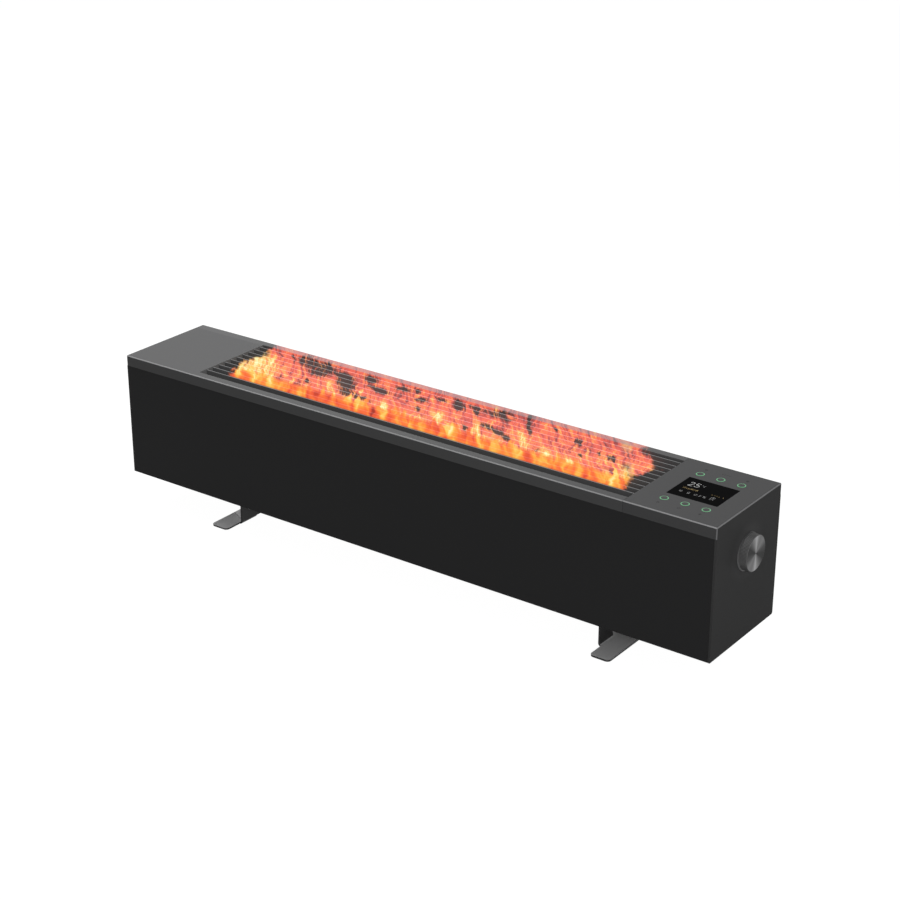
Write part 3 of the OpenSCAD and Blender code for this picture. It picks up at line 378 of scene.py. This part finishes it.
    # Colour: rose above the bed, with greenish wisps
    colour = ramp(tree, warmth, WARMTH_BAND)
    rose = sums(tree, "MULTIPLY", sums(tree, "SUBTRACT", 1.0, bed),
                straight(tree, up, *ROSE_UP, 1.3, 0.6))
    colour = vectors(tree, "ADD", colour, vectors(tree, "SCALE", ROSE_ABOVE, rose))
    wisps = sums(tree, "MULTIPLY", patches(GREENISH), 0.45)
    colour = blend_colour(tree, wisps, colour, GREENISH_FLAME)

    # Cover: whole in the bed of the fire, torn open above it
    cover = layered(0.90, (tongues, 1.6), (fine, 0.65), (broad, 1.8))
    cover = sums(tree, "MULTIPLY_ADD", holes, layered(-1.25, (fine, 2.2)), cover)
    cover = sums(tree, "MULTIPLY_ADD", threads, 0.30, cover)
    kept_whole = sums(tree, "MULTIPLY_ADD", hot, 0.9, sums(tree, "MULTIPLY", bed, 1.3))
    cover = ranged(tree, sums(tree, "MAXIMUM", cover, kept_whole), -0.1, 0.9)

    # Zone: ragged at its ends, plain at its foot
    ragged = sums(tree, "SUBTRACT", streaks(14.0, 30.0, 71.0, detail=3.0, rough=0.6), 0.5)
    ragged = sums(tree, "MULTIPLY", ragged, RAGGED_REACH)
    left = sums(tree, "SUBTRACT", x, edge(LEFT_EDGE, *LEFT_SPAN))
    right = sums(tree, "SUBTRACT", edge(RIGHT_EDGE, *RIGHT_SPAN), x)
    ends = [ranged(tree, sums(tree, "ADD", inward, ragged), *END_SOFT)
            for inward in (left, right)]
    zone = sums(tree, "MULTIPLY", sums(tree, "MULTIPLY", *ends), ranged(tree, up, *FOOT_SOFT))
    cover = sums(tree, "MULTIPLY", cover, zone)

    tree.links.new(vectors(tree, "SCALE", colour, cover), end.inputs["Light"])
    tree.links.new(cover, end.inputs["Cover"])
    tree.links.new(sums(tree, "MULTIPLY", cover, bed), end.inputs["Bed"])
    tree.links.new(zone, end.inputs["Zone"])
    return tree


GRAIN = make_grain()
BRUSHED = make_brushed()
FLAME = make_flame()


def flame_at(tree, place, along_sight=True):
    """The flame picture's millimetres.

    Along the sight, what lies deeper shows what hangs above and before it.
    """
    x, y, z = parts(tree, place)
    depth = sums(tree, "SUBTRACT", CASE_TOP, z) if along_sight else 0.0
    x = sums(tree, "MULTIPLY_ADD", depth, SIGHT_X, sums(tree, "SUBTRACT", x, CASE_SHIFT))
    y = sums(tree, "MULTIPLY_ADD", depth, SIGHT_Y, y)
    return vectors(tree, "MULTIPLY", whole(tree, X=x, Y=y), (1 / MM, 1 / MM, 1.0))


# Finishes. A face counts as turned up, or as a cut edge, between the two shares of each pair.
# The bare metal of a cut goes by the two axes that its edge faces, as a painted highlight.
TURNED_UP = (0.5, 0.9)
BLADE_TOP = (0.7, 0.9)
CUT_EDGE = (0.25, 0.4)
EDGE_HIGHLIGHT_GREYS = (((1, 2), (0.32, 0.32, 0.325)), ((0, 2), (0.25, 0.25, 0.255)),
             ((0, 1), (0.20, 0.20, 0.205)))

# Where the lit parts of the covers lie, in metres from the case's middle, and their light
REAR_STRIP = (0.0660, 0.0700)
OPENING_ENDS = (0.3680, 0.3660)
OPENING_SIDES = (0.0725, 0.0712)
STRIP_HAZE, STRIP_PALE, STRIP_TOP_SHARE = (0.02, 0.07, 0.08), (0.02, 0.02, 0.02), 0.60
STRAY_ON_SIDES, STRAY_ON_ENDS = 0.018, 0.036

# Light on the dark parts in the outlet: what stays of their own colour under the flames, and how
# pale the painted light makes their sides and their tops, by the flame's zone and at least
UNDER_FLAMES = 0.45
SIDES_BY_ZONE = 0.016
TOPS_BY_ZONE, TOPS_LEAST = 0.08, 0.13
PAINTED_LIGHT_TINT = (0.99, 1.0, 1.02)

# Where the end caps and the feet carry painted shade and painted light, in metres, and how much
CAP_FOOT = 0.05
KNOB_PAINTED_LIGHT_REACH, KNOB_PAINTED_LIFT = (KNOB_RADIUS * 1.85, KNOB_RADIUS), 1.40
BRACE_SLANT, BRACE_FOOT = (0.2, 0.3), (0.0036, 0.0040)
FEET_APART, FEET_PAINTED_SHADE = (-0.33, 0.33), (1.09, 0.64)
FEET_PAINTED_GLOW = 0.014

# Painted highlights: bright fan-shaped sheens over half a turn of the knob's face
FACE_PAINTED_HIGHLIGHTS = ((0.0, 0.70), (0.03, 0.60), (0.08, 0.40), (0.15, 0.27), (0.30, 0.32), (0.45, 0.10),
        (0.60, 0.02), (0.70, 0.02), (0.80, 0.16), (0.90, 0.36), (0.96, 0.56), (1.0, 0.70))
FACE_RINGS, RING_TONES, RING_ROUGHNESS = 2600.0, (0.90, 1.10), (0.36, 0.48)
KNURLS_ROUND, KNURLS_ALONG = 44.0, 1800.0


def grained(tree, place, colour, size, depth, rough):
    """The grain of a coat, in one colour."""
    return use(tree, GRAIN, Place=place, Colour=(*colour, 1.0), Grain_size=size, Depth=depth,
               Roughness=rough)


def coat(name, colour, rough, size=900.0, depth=0.12, bump=0.12, specular=0.5, painted_foot_shade=1.0):
    """A sprayed or moulded finish with fine grain.

    One with painted shade is deeper towards the foot of the case, and has painted light round the
    knob, where the knob's shade falls.
    """
    made, tree, shader, place = material(name)
    out = grained(tree, place, colour, size, depth, rough)
    over = out["Colour"]
    if painted_foot_shade < 1.0:
        # Painted shade, deeper towards the foot, and painted light round the knob against its
        # shade
        height = parts(tree, place)[2]
        over = vectors(tree, "SCALE", over, straight(tree, height, CAP_FOOT, CASE_TOP, painted_foot_shade, 1.0))
        from_knob = vectors(tree, "LENGTH", vectors(tree, "SUBTRACT", place, KNOB_MIDDLE))
        over = vectors(tree, "SCALE", over, ranged(tree, from_knob, *KNOB_PAINTED_LIGHT_REACH, 1.0, KNOB_PAINTED_LIFT))
    join(tree, shader, Base_Color=over, Roughness=out["Roughness"],
         Normal=bumped(tree, out["Height"], bump), Specular_IOR_Level=specular)
    return made


def foot_finish(name, colour, pale):
    """Satin coat of the feet, painted light: pale on the faces that look up, dark on the webs and
    edges.
    """
    made, tree, shader, place = material(name)
    out = grained(tree, place, colour, size=900.0, depth=0.08, rough=0.4)
    across, along, upward = parts(tree, node(tree, "TexCoord").outputs["Normal"])
    x, _, z = parts(tree, place)
    # Painted light: pale on faces that look up and on slanted faces above the plate
    aslant = sums(tree, "MULTIPLY", sums(tree, "ABSOLUTE", across), sums(tree, "ABSOLUTE", along))
    painted_brace_light = sums(tree, "MULTIPLY", ranged(tree, aslant, *BRACE_SLANT),
                 ranged(tree, z, *BRACE_FOOT))
    tone = sums(tree, "MAXIMUM", ranged(tree, upward, *TURNED_UP), painted_brace_light)
    # Painted shade: the feet darker from left to right
    painted_shade_by_x = straight(tree, x, *FEET_APART, *FEET_PAINTED_SHADE)
    colour = vectors(tree, "SCALE", blend_colour(tree, tone, out["Colour"], pale), painted_shade_by_x)
    # The pale faces also glow faintly: painted light
    join(tree, shader, Base_Color=colour, Roughness=out["Roughness"],
         Normal=bumped(tree, out["Height"], 0.1), Specular_IOR_Level=0.1,
         Emission_Color=vectors(tree, "SCALE", (1.0, 1.0, 1.0), tone),
         Emission_Strength=FEET_PAINTED_GLOW)
    return made


def metal(name, colour, rough):
    """Rolled or brushed bare metal."""
    made, tree, shader, place = material(name)
    out = use(tree, BRUSHED, Place=place, Colour=(*colour, 1.0), Roughness=rough)
    join(tree, shader, Base_Color=out["Colour"], Roughness=out["Roughness"],
         Normal=bumped(tree, out["Height"], 0.08), Metallic=1.0)
    return made


def cover_light(tree, place, facing, endward, upward):
    """Flame light and haze on the strip behind the outlet, and stray light on its walls."""
    flame = use(tree, FLAME, Place=flame_at(tree, place))
    x, y = parts(tree, place)[:2]
    rearward = parts(tree, facing)[1]
    behind = sums(tree, "MULTIPLY", ranged(tree, y, *REAR_STRIP), ranged(tree, rearward, 0.5, 0.2))
    share = straight(tree, upward, 0.0, 1.0, 1.0, STRIP_TOP_SHARE)
    share = sums(tree, "MULTIPLY", behind, share)
    haze = vectors(tree, "ADD", vectors(tree, "SCALE", STRIP_HAZE, flame["Cover"]), STRIP_PALE)
    haze = vectors(tree, "SCALE", haze, sums(tree, "MULTIPLY", behind, upward))
    light = vectors(tree, "ADD", vectors(tree, "SCALE", flame["Light"], share), haze)

    along = sums(tree, "ABSOLUTE", sums(tree, "SUBTRACT", x, CASE_SHIFT))
    inside = sums(tree, "MULTIPLY", ranged(tree, along, *OPENING_ENDS),
                  ranged(tree, sums(tree, "ABSOLUTE", y), *OPENING_SIDES))
    stray = sums(tree, "MULTIPLY_ADD", endward, STRAY_ON_ENDS, STRAY_ON_SIDES)
    stray = sums(tree, "MULTIPLY", inside, stray)
    stray = sums(tree, "MULTIPLY", stray, sums(tree, "SUBTRACT", 1.0, upward))
    return vectors(tree, "ADD", light, whole(tree, X=stray, Y=stray, Z=stray))


def cover_finish(name, colour, painted_side_tone, lit):
    """Satin coat of the top covers, bare and bright where their edges are cut: a painted
    highlight.

    The sides are painted in their own tone against the top, as light falls on them. A lit cover
    takes flame light.
    """
    made, tree, shader, place = material(name)
    out = grained(tree, place, colour, size=700.0, depth=0.07, rough=0.48)
    facing = node(tree, "TexCoord").outputs["Normal"]
    turned = parts(tree, vectors(tree, "ABSOLUTE", facing))
    upward = ranged(tree, turned[2], *TURNED_UP)
    # Painted light: the sides in their own tone against the top
    over = vectors(tree, "SCALE", out["Colour"], straight(tree, upward, 0.0, 1.0, painted_side_tone, 1.0))
    cuts = []
    # Painted highlight: each cut edge takes a bare-metal grey by the way it faces
    for (one, other), bare in EDGE_HIGHLIGHT_GREYS:
        cut = ranged(tree, sums(tree, "MULTIPLY", turned[one], turned[other]), *CUT_EDGE)
        over = blend_colour(tree, cut, over, bare)
        cuts.append(cut)
    cut = sums(tree, "MAXIMUM", cuts[0], sums(tree, "MAXIMUM", cuts[1], cuts[2]))
    join(tree, shader, Base_Color=over, Roughness=straight(tree, cut, 0.0, 1.0, 0.5, 0.35),
         Normal=bumped(tree, out["Height"], 0.06), Specular_IOR_Level=0.12)
    if lit:
        light = cover_light(tree, place, facing, turned[0], upward)
        join(tree, shader, Emission_Color=light, Emission_Strength=1.0)
    return made


def lit_finish(name, colour, rough, along_sight=True, strength=1.0, glow=0.0):
    """Dark parts in the outlet that carry the flame light.

    Faces turned up stand pale in it with painted light, and all faces glow faintly, but not in its
    bed.
    """
    made, tree, shader, place = material(name)
    out = grained(tree, place, colour, size=800.0, depth=0.1, rough=rough)
    flame = use(tree, FLAME, Place=flame_at(tree, place, along_sight))
    upward = ranged(tree, parts(tree, node(tree, "TexCoord").outputs["Normal"])[2], *BLADE_TOP)
    under = vectors(tree, "SCALE", out["Colour"],
                    straight(tree, flame["Cover"], 0.0, 1.0, 1.0, UNDER_FLAMES))
    # Painted light: a faint glow on all faces and paler tops, outside the bed
    painted_side_glow = sums(tree, "MULTIPLY_ADD", flame["Zone"], SIDES_BY_ZONE, glow)
    painted_top_light = sums(tree, "MULTIPLY_ADD", flame["Zone"], TOPS_BY_ZONE, TOPS_LEAST)
    pale = sums(tree, "MULTIPLY", sums(tree, "SUBTRACT", 1.0, flame["Bed"]),
                sums(tree, "MULTIPLY_ADD", upward, painted_top_light, painted_side_glow))
    pale = vectors(tree, "SCALE", PAINTED_LIGHT_TINT, pale)
    join(tree, shader, Base_Color=under, Roughness=out["Roughness"],
         Normal=bumped(tree, out["Height"], 0.06), Specular_IOR_Level=0.15,
         Emission_Color=vectors(tree, "ADD", flame["Light"], pale), Emission_Strength=strength)
    return made


def turned_finish(name, colour, low, high, crossing):
    """Round parts at the end cap, with a fine crossed pattern above.

    The tone runs from low at their foot to high at their top, as painted light and shade.
    """
    made, tree, shader, place = material(name)
    out = grained(tree, place, colour, size=1500.0, depth=0.15, rough=0.45)
    x, y, z = parts(tree, vectors(tree, "SUBTRACT", place, KNOB_MIDDLE))
    turn = sums(tree, "MULTIPLY", sums(tree, "ARCTAN2", y, z), KNURLS_ROUND)
    along = sums(tree, "MULTIPLY", x, KNURLS_ALONG)
    crossed = sums(tree, "MULTIPLY", *(sums(tree, "SINE", sums(tree, how, turn, along))
                                       for how in ("ADD", "SUBTRACT")))
    # Painted light and shade: tone by height about the knob's axis
    height = straight(tree, z, -KNOB_RADIUS, KNOB_RADIUS, 0.0, 1.0)
    tone = sums(tree, "MULTIPLY_ADD", sums(tree, "MULTIPLY", crossed, height), crossing,
                straight(tree, height, 0.0, 1.0, low, high))
    join(tree, shader, Base_Color=vectors(tree, "SCALE", out["Colour"], tone),
         Roughness=out["Roughness"], Normal=bumped(tree, crossed, 0.3), Specular_IOR_Level=0.12)
    return made


def spun_finish(name):
    """Spun face of the knob: fine rings, and two bright fan-shaped painted highlights that such
    rings give.
    """
    made, tree, shader, place = material(name)
    _, y, z = parts(tree, vectors(tree, "SUBTRACT", place, KNOB_MIDDLE))
    half_turns = sums(tree, "DIVIDE", sums(tree, "ARCTAN2", y, z), math.pi)
    half_turns = sums(tree, "FRACT", sums(tree, "ADD", half_turns, 1.0))
    out_from_axis = vectors(tree, "LENGTH", whole(tree, Y=y, Z=z))
    ringed = whole(tree, X=sums(tree, "MULTIPLY", out_from_axis, FACE_RINGS))
    rings = noisy(tree, ringed, 1.0).outputs["Fac"]
    # Painted highlight: two bright fan-shaped sheens laid in the face's colour
    painted_highlights = ramp(tree, half_turns, [(turn, (tone, tone, tone * 1.01)) for turn, tone in FACE_PAINTED_HIGHLIGHTS])
    colour = vectors(tree, "SCALE", painted_highlights, ranged(tree, rings, 0.3, 0.7, *RING_TONES))
    join(tree, shader, Base_Color=colour, Roughness=ranged(tree, rings, 0.2, 0.8, *RING_ROUGHNESS),
         Normal=bumped(tree, rings, 0.1, distance=0.00005), Specular_IOR_Level=0.08)
    return made


def glass(name, colour, rough):
    """Polished dark window with faint smears."""
    made, tree, shader, place = material(name)
    smear = noisy(tree, place, 40.0, detail=3.0).outputs["Fac"]
    smeared = tuple(part * 1.25 for part in colour)
    join(tree, shader, Base_Color=blend_colour(tree, smear, colour, smeared),
         Roughness=ranged(tree, smear, 0.3, 0.7, rough, rough * 1.5), Specular_IOR_Level=0.001)
    return made


def glowing(name, colour, strength, base=(0.1, 0.1, 0.1)):
    """Lit marks, rings and lamps, a little uneven in their glow."""
    made, tree, shader, place = material(name)
    uneven = noisy(tree, place, 400.0).outputs["Fac"]
    dim, raised = tuple(part * 0.8 for part in colour), tuple(part * 1.2 for part in base)
    join(tree, shader, Base_Color=blend_colour(tree, uneven, base, raised), Roughness=0.4,
         Emission_Color=blend_colour(tree, uneven, dim, colour), Emission_Strength=strength)
    return made


FINISHES = {made.name: made for made in (
    coat("front black", (0.0225, 0.0225, 0.023), 0.55, depth=0.10, specular=0.06),
    # The end caps carry painted shade towards the foot and painted light round the knob
    coat("cap grey", (0.0615, 0.0615, 0.062), 0.5, depth=0.08, specular=0.015, painted_foot_shade=0.84),
    coat("rear black", (0.014, 0.014, 0.0145), 0.55, depth=0.12, specular=0.08),
    cover_finish("cover grey lit", (0.0645, 0.0645, 0.0655), painted_side_tone=1.06, lit=True),
    cover_finish("cover grey", (0.047, 0.047, 0.048), painted_side_tone=1.30, lit=False),
    # The blades' glow is painted light on all their faces
    lit_finish("blade grey", (0.055, 0.055, 0.056), 0.5, glow=0.024),
    metal("chamber sheet", (0.50, 0.51, 0.52), 0.4),
    metal("bright sheet", (0.78, 0.79, 0.80), 0.3),
    lit_finish("screen amber", (0.25, 0.10, 0.05), 0.6, along_sight=False, strength=0.9),
    coat("ceramic cream", (0.80, 0.76, 0.66), 0.7, size=500.0, depth=0.1, bump=0.1),
    glowing("lamp amber", (1.0, 0.45, 0.12), 1.5, base=(0.5, 0.25, 0.08)),
    coat("board green", (0.02, 0.12, 0.06), 0.4, size=300.0, depth=0.4, bump=0.05),
    coat("moulded black", (0.022, 0.022, 0.024), 0.6, size=1400.0, depth=0.15, bump=0.1),
    coat("bush white", (0.70, 0.69, 0.65), 0.5, size=900.0, depth=0.05, bump=0.05),
    glass("lens black", (0.0045, 0.0045, 0.0048), 0.16),
    glowing("ring green", (0.10, 0.40, 0.17), 1.0, base=(0.03, 0.08, 0.04)),
    # The knob is painted lighter at its top, the bezel at its foot: painted light and shade
    turned_finish("knob dark", (0.165, 0.165, 0.166), low=0.48, high=1.12, crossing=0.8),
    turned_finish("bezel grey", (0.15, 0.15, 0.152), low=2.0, high=0.6, crossing=0.0),
    spun_finish("spun face"),
    coat("winding yellow", (0.55, 0.36, 0.06), 0.45, size=200.0, depth=0.3, bump=0.1),
    coat("can blue", (0.02, 0.07, 0.22), 0.3, size=600.0, depth=0.08, bump=0.03),
    coat("wire red", (0.40, 0.03, 0.02), 0.5, size=700.0, depth=0.1, bump=0.05),
    coat("wire yellow", (0.50, 0.42, 0.05), 0.5, size=700.0, depth=0.1, bump=0.05),
    coat("ribbon grey", (0.5, 0.5, 0.47), 0.5, size=1200.0, depth=0.2, bump=0.1),
    # The feet carry painted light on their upward faces and painted shade from left to right
    foot_finish("foot coat", (0.056, 0.056, 0.0565), pale=(0.82, 0.82, 0.825)),
    coat("pad rubber", (0.012, 0.012, 0.012), 0.85, size=1500.0, depth=0.3, bump=0.3),
    coat("print grey", (0.024, 0.024, 0.024), 0.6, depth=0.1, bump=0.02, specular=0.05),
    glowing("mark white", (0.85, 0.85, 0.83), 0.85),
    glowing("mark grey", (0.50, 0.50, 0.50), 0.55, base=(0.05, 0.05, 0.05)),
    glowing("mark orange", (0.60, 0.40, 0.10), 0.62, base=(0.05, 0.04, 0.02)),
)}

NODE_FINISH = {
    "front black": ["front_panel"],
    "rear black": ["rear_panel", "bottom_plate"],
    "cap grey": ["left_end_cap", "right_end_cap"],
    "cover grey lit": ["grille_frame"],
    "cover grey": ["control_cover", "key_back_left", "key_back_middle", "key_back_right",
                   "key_front_left", "key_front_middle", "key_front_right"],
    "blade grey": ["outlet_grille"],
    "chamber sheet": ["left_bulkhead", "right_bulkhead", "thermal_cutout", "rotor_motor",
                      "encoder_body", "encoder_shaft", "encoder_nut", "board_standoffs",
                      "key_board_posts", "foot_screws", "case_screws", "board_screws"],
    "bright sheet": ["front_baffle", "rear_baffle", "heating_element", "heat_sink",
                     "flame_rotor"],
    "screen amber": ["flame_screen"],
    "ceramic cream": ["element_bushes"],
    "lamp amber": ["flame_lamps"],
    "board green": ["lamp_boards", "key_board", "power_board", "terminal_block"],
    "moulded black": ["key_switches", "relays", "cable_gland", "gland_nut",
                      "temperature_sensor", "tip_switch", "display_module"],
    "bush white": ["rotor_bushes"],
    "lens black": ["display_lens"],
    "ring green": ["light_rings"],
    "knob dark": ["knob"],
    "bezel grey": ["knob_bezel"],
    "spun face": ["knob_face"],
    "winding yellow": ["transformer"],
    "can blue": ["filter_capacitors"],
    "wire red": ["element_wires"],
    "wire yellow": ["chamber_wires"],
    "ribbon grey": ["control_ribbon"],
    "foot coat": ["left_foot", "right_foot"],
    "pad rubber": ["foot_pads"],
}
for finish, names in NODE_FINISH.items():
    for name in names:
        for slot in nodes_of[name].material_slots:
            slot.link = "OBJECT"
            slot.material = FINISHES[finish]


# Display and printed marks

SAME_POINT = 1e-6
SHARPEST_CORNER = 0.5  # keeps a corner from running out in a long spike


def strokes(name, lines, wide, place, thick, finish, body="case"):
    """Thin raised strokes on the top.

    Each line is a run of (x, y) points in millimetres from the place.
    """
    shape = bmesh.new()
    x0, y0, z0 = place
    for line in lines:
        points = [Vector((x0 + px * MM, y0 + py * MM)) for px, py in line]
        closed = (points[0] - points[-1]).length < SAME_POINT
        if closed:
            points.pop()
        rows = []
        for i, point in enumerate(points):
            before = points[i - 1] if i or closed else None
            after = points[(i + 1) % len(points)] if i + 1 < len(points) or closed else None
            runs = [(b - a).normalized() for a, b in ((before, point), (point, after))
                    if a is not None and b is not None]
            course = sum(runs, Vector((0.0, 0.0))).normalized()
            side = Vector((-course.y, course.x)) * (wide * MM / 2)
            side /= max(SHARPEST_CORNER, course.dot(runs[0]))
            corners = [point + side, point - side]
            rows.append([shape.verts.new((c.x, c.y, z))
                         for z in (z0, z0 + thick * MM) for c in corners])
        count = len(rows)
        for i in range(count if closed else count - 1):
            a, b = rows[i], rows[(i + 1) % count]
            for p, q in ((0, 1), (1, 3), (3, 2), (2, 0)):
                shape.faces.new((a[p], a[q], b[q], b[p]))
        if not closed:
            for end in (rows[0], rows[-1]):
                shape.faces.new((end[0], end[1], end[3], end[2]))
    bmesh.ops.recalc_face_normals(shape, faces=shape.faces)
    mesh = bpy.data.meshes.new(name)
    shape.to_mesh(mesh)
    shape.free()
    made = bpy.data.objects.new(name, mesh)
    bpy.context.scene.collection.objects.link(made)
    mesh.materials.append(FINISHES[finish])
    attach(made, body)


def arc(cx, cy, radius, start, stop, steps=10):
    """Points along an arc, from one angle to another in degrees."""
    turns = [math.radians(start + (stop - start) * i / steps) for i in range(steps + 1)]
    return [(cx + radius * math.cos(turn), cy + radius * math.sin(turn)) for turn in turns]


def ring(cx, cy, radius, steps=16):
    return arc(cx, cy, radius, 0, 360, steps)


def scaled(line, size, about):
    """The line at another size about a point."""
    return [(about[0] + (px - about[0]) * size, about[1] + (py - about[1]) * size)
            for px, py in line]


# The marks are placed in millimetres from the case's own middle, on its top
TOP = (CASE_SHIFT, 0.0, LENS_HIGH.z)
LENS_MARK, COVER_MARK = 0.06, 0.04

# The figure 25, in thin round strokes
FIGURE_MIDDLE = (413.5, 11.6)
FIGURE_SIZE = 0.74
two = arc(407.8, 15.8, 3.8, 165, -25) + [(404.2, 4.2), (411.8, 4.2)]
five = [(423.0, 19.6), (417.2, 19.6), (416.4, 12.9)] + arc(419.2, 9.0, 4.4, 118, -150, 12)
strokes("temperature_figures", [scaled(line, FIGURE_SIZE, FIGURE_MIDDLE) for line in (two, five)],
        0.50, TOP, LENS_MARK, "mark white")
strokes("degree_mark", [ring(424.2, 15.4, 0.6, 10), arc(427.8, 13.6, 1.7, 55, 305, 9)],
        0.24, TOP, LENS_MARK, "mark grey")

# A row of short bars, read from a distance as small lettering
BARS_START, BARS_END, BARS_FOOT = 405.8, 427.6, -4.6
BAR_HEIGHTS = [2.6, 3.6, 4.0]
BAR_GAPS = [1.7, 2.2, 2.8]
CROSS_CHANCE, CROSS_PLACES, CROSS_LENGTH = 0.6, [0.5, 1.0], 1.1
bars = []
cursor = BARS_START
while cursor < BARS_END:
    tall = chance.choice(BAR_HEIGHTS)
    bars.append([(cursor, BARS_FOOT), (cursor, BARS_FOOT + tall)])
    if chance.random() < CROSS_CHANCE:
        bars.append([(cursor, BARS_FOOT + tall * chance.choice(CROSS_PLACES)),
                     (cursor + CROSS_LENGTH, BARS_FOOT + tall * chance.choice(CROSS_PLACES))])
    cursor += chance.choice(BAR_GAPS)
bars += [[(x, -2.6), (x + 1.9, -2.3)] for x in (446.2, 449.8, 453.2)]
bars.append([(456.8, -3.4), (457.4, -1.4)])
bars.append(ring(462.8, -2.2, 0.5, 8))
strokes("status_bars", bars, 0.30, TOP, LENS_MARK, "mark orange")

# Plain pictograms along the lower edge of the window
signs = [
    ring(408.2, -14.2, 1.9, 12), [(408.2, -12.9), (408.2, -14.3), (409.1, -14.9)],
    [(418.6, -16.8), (418.6, -12.0), (419.8, -11.4), (421.0, -12.6), (421.0, -16.8),
     (418.6, -16.8)],
    arc(430.2, -14.4, 2.2, 40, 320), [(430.2, -14.4), (432.0, -13.2)],
    [(435.4, -16.6), (435.4, -12.2), (438.0, -12.2)], [(435.4, -14.4), (437.4, -14.4)],
    [(440.8, -16.6), (443.6, -12.0)], ring(441.0, -12.8, 0.8, 8), ring(443.4, -15.8, 0.8, 8),
    [(450.4, -16.8), (450.4, -9.6), (452.2, -7.4), (454.8, -8.2), (455.4, -10.8),
     (454.0, -13.4), (455.8, -16.8)],
    [(452.4, -16.8), (452.8, -13.8)], ring(452.9, -10.6, 1.0, 9)]
strokes("pictograms", signs, 0.30, TOP, LENS_MARK, "mark grey")

# Dark printed signs outside the rings, one for each key
PRINT_ROW = 61.0
HOOK_PITCH, HOOK_HEIGHT, HOOK_LENGTH, HOOK_START = 3.4, 1.2, 1.8, -6.5
for side, row in ((-1, "front"), (1, "back")):
    prints = []
    for step in (-1, 0, 1):
        cx = (FIELD_X - CASE_SHIFT + step * KEY_PITCH) / MM
        cy = side * PRINT_ROW
        if side > 0 and step == 0:
            for k in range(4):
                left = cx + HOOK_START + HOOK_PITCH * k
                prints.append([(left, cy - HOOK_HEIGHT), (left, cy + HOOK_HEIGHT),
                               (left + HOOK_LENGTH, cy + HOOK_HEIGHT)])
        elif step == 0:
            prints += [arc(cx, cy, 2.0, 120, 420), [(cx, cy + 0.6), (cx, cy + 2.6)]]
        else:
            prints += [ring(cx, cy, 1.7, 12), [(cx - 0.9, cy), (cx + 0.9, cy)]]
            if step > 0:
                prints.append([(cx, cy - 0.9), (cx, cy + 0.9)])
    strokes("key_prints_" + row, prints, 0.50, TOP, COVER_MARK, "print grey")


# Floor, light and camera

FLOOR_HALF = 30.0
WHITE = (1.0, 1.0, 1.0, 1.0)
FLOOR_PALE, FLOOR_FAINT = (0.18, 0.18, 0.18, 1.0), (0.08, 0.08, 0.08, 1.0)
FLOOR_SHOWN = 0.985
STUDIO_LIGHT = 0.32


def seen_plainly(tree):
    """One for what is looked at straight, in a mirror or through glass, nought for light."""
    path = node(tree, "LightPath").outputs
    beyond = sums(tree, "MAXIMUM", path["Is Glossy Ray"], path["Is Transmission Ray"])
    return sums(tree, "MAXIMUM", path["Is Camera Ray"], beyond)


corners = [(-FLOOR_HALF, -FLOOR_HALF, 0), (FLOOR_HALF, -FLOOR_HALF, 0),
           (FLOOR_HALF, FLOOR_HALF, 0), (-FLOOR_HALF, FLOOR_HALF, 0)]
floor_mesh = bpy.data.meshes.new("floor")
floor_mesh.from_pydata(corners, [], [(0, 1, 2, 3)])
floor = bpy.data.objects.new("floor", floor_mesh)
bpy.context.scene.collection.objects.link(floor)
floor_paint = bpy.data.materials.new("floor paint")
floor_paint.use_nodes = True
tree = floor_paint.node_tree
tree.nodes.clear()
pale = node(tree, "BsdfDiffuse", {"Color": FLOOR_PALE})
faint = node(tree, "BsdfDiffuse", {"Color": FLOOR_FAINT})
white = node(tree, "Emission", {"Color": WHITE, "Strength": FLOOR_SHOWN})
shown = node(tree, "AddShader", {0: faint.outputs[0], 1: white.outputs[0]})
mixed = node(tree, "MixShader", {0: seen_plainly(tree), 1: pale.outputs[0], 2: shown.outputs[0]})
node(tree, "OutputMaterial", {0: mixed.outputs[0]})
floor.data.materials.append(floor_paint)

world = bpy.data.worlds.new("studio")
bpy.context.scene.world = world
world.use_nodes = True
tree = world.node_tree
tree.nodes.clear()
grey = node(tree, "Background", {"Color": WHITE, "Strength": STUDIO_LIGHT})
bright = node(tree, "Background", {"Color": WHITE, "Strength": 1.0})
mixed = node(tree, "MixShader", {0: seen_plainly(tree), 1: grey.outputs[0], 2: bright.outputs[0]})
node(tree, "OutputWorld", {0: mixed.outputs[0]})

# Soft lights: name, place, the point each looks at, size and power
SOFT_LIGHTS = [
    ("top_soft", (-0.90, 0.35, 1.55), (-0.2, 0.0, 0.2), (1.4, 1.0), 30.0),
    ("front_soft", (1.35, -1.4, 0.7), (0.4, 0.0, 0.12), (1.2, 0.9), 9.5),
    ("end_soft", (1.9, 0.3, 1.0), (0.5, 0.0, 0.2), (1.2, 1.0), 1.2)]
for name, place, aim, size, power in SOFT_LIGHTS:
    light = bpy.data.lights.new(name, "AREA")
    light.shape = "RECTANGLE"
    light.size, light.size_y = size
    light.energy = power
    stand = bpy.data.objects.new(name, light)
    stand.location = place
    stand.rotation_euler = (Vector(aim) - Vector(place)).to_track_quat("-Z", "Y").to_euler()
    bpy.context.scene.collection.objects.link(stand)

# The camera's lens in millimetres, its place and its sight were solved from the case's outline
CAMERA_LENS = 80.045
CAMERA_PLACE = (1.53098, -2.03953, 1.29423)
CAMERA_SIGHT = (-0.54382, 0.73882, -0.39801)
camera_data = bpy.data.cameras.new("camera")
camera_data.sensor_width = 36.0
camera_data.lens = CAMERA_LENS
camera = bpy.data.objects.new("camera", camera_data)
camera.location = CAMERA_PLACE
camera.rotation_euler = Vector(CAMERA_SIGHT).to_track_quat("-Z", "Y").to_euler()
bpy.context.scene.collection.objects.link(camera)
bpy.context.scene.camera = camera
bpy.context.scene.view_settings.view_transform = "Standard"
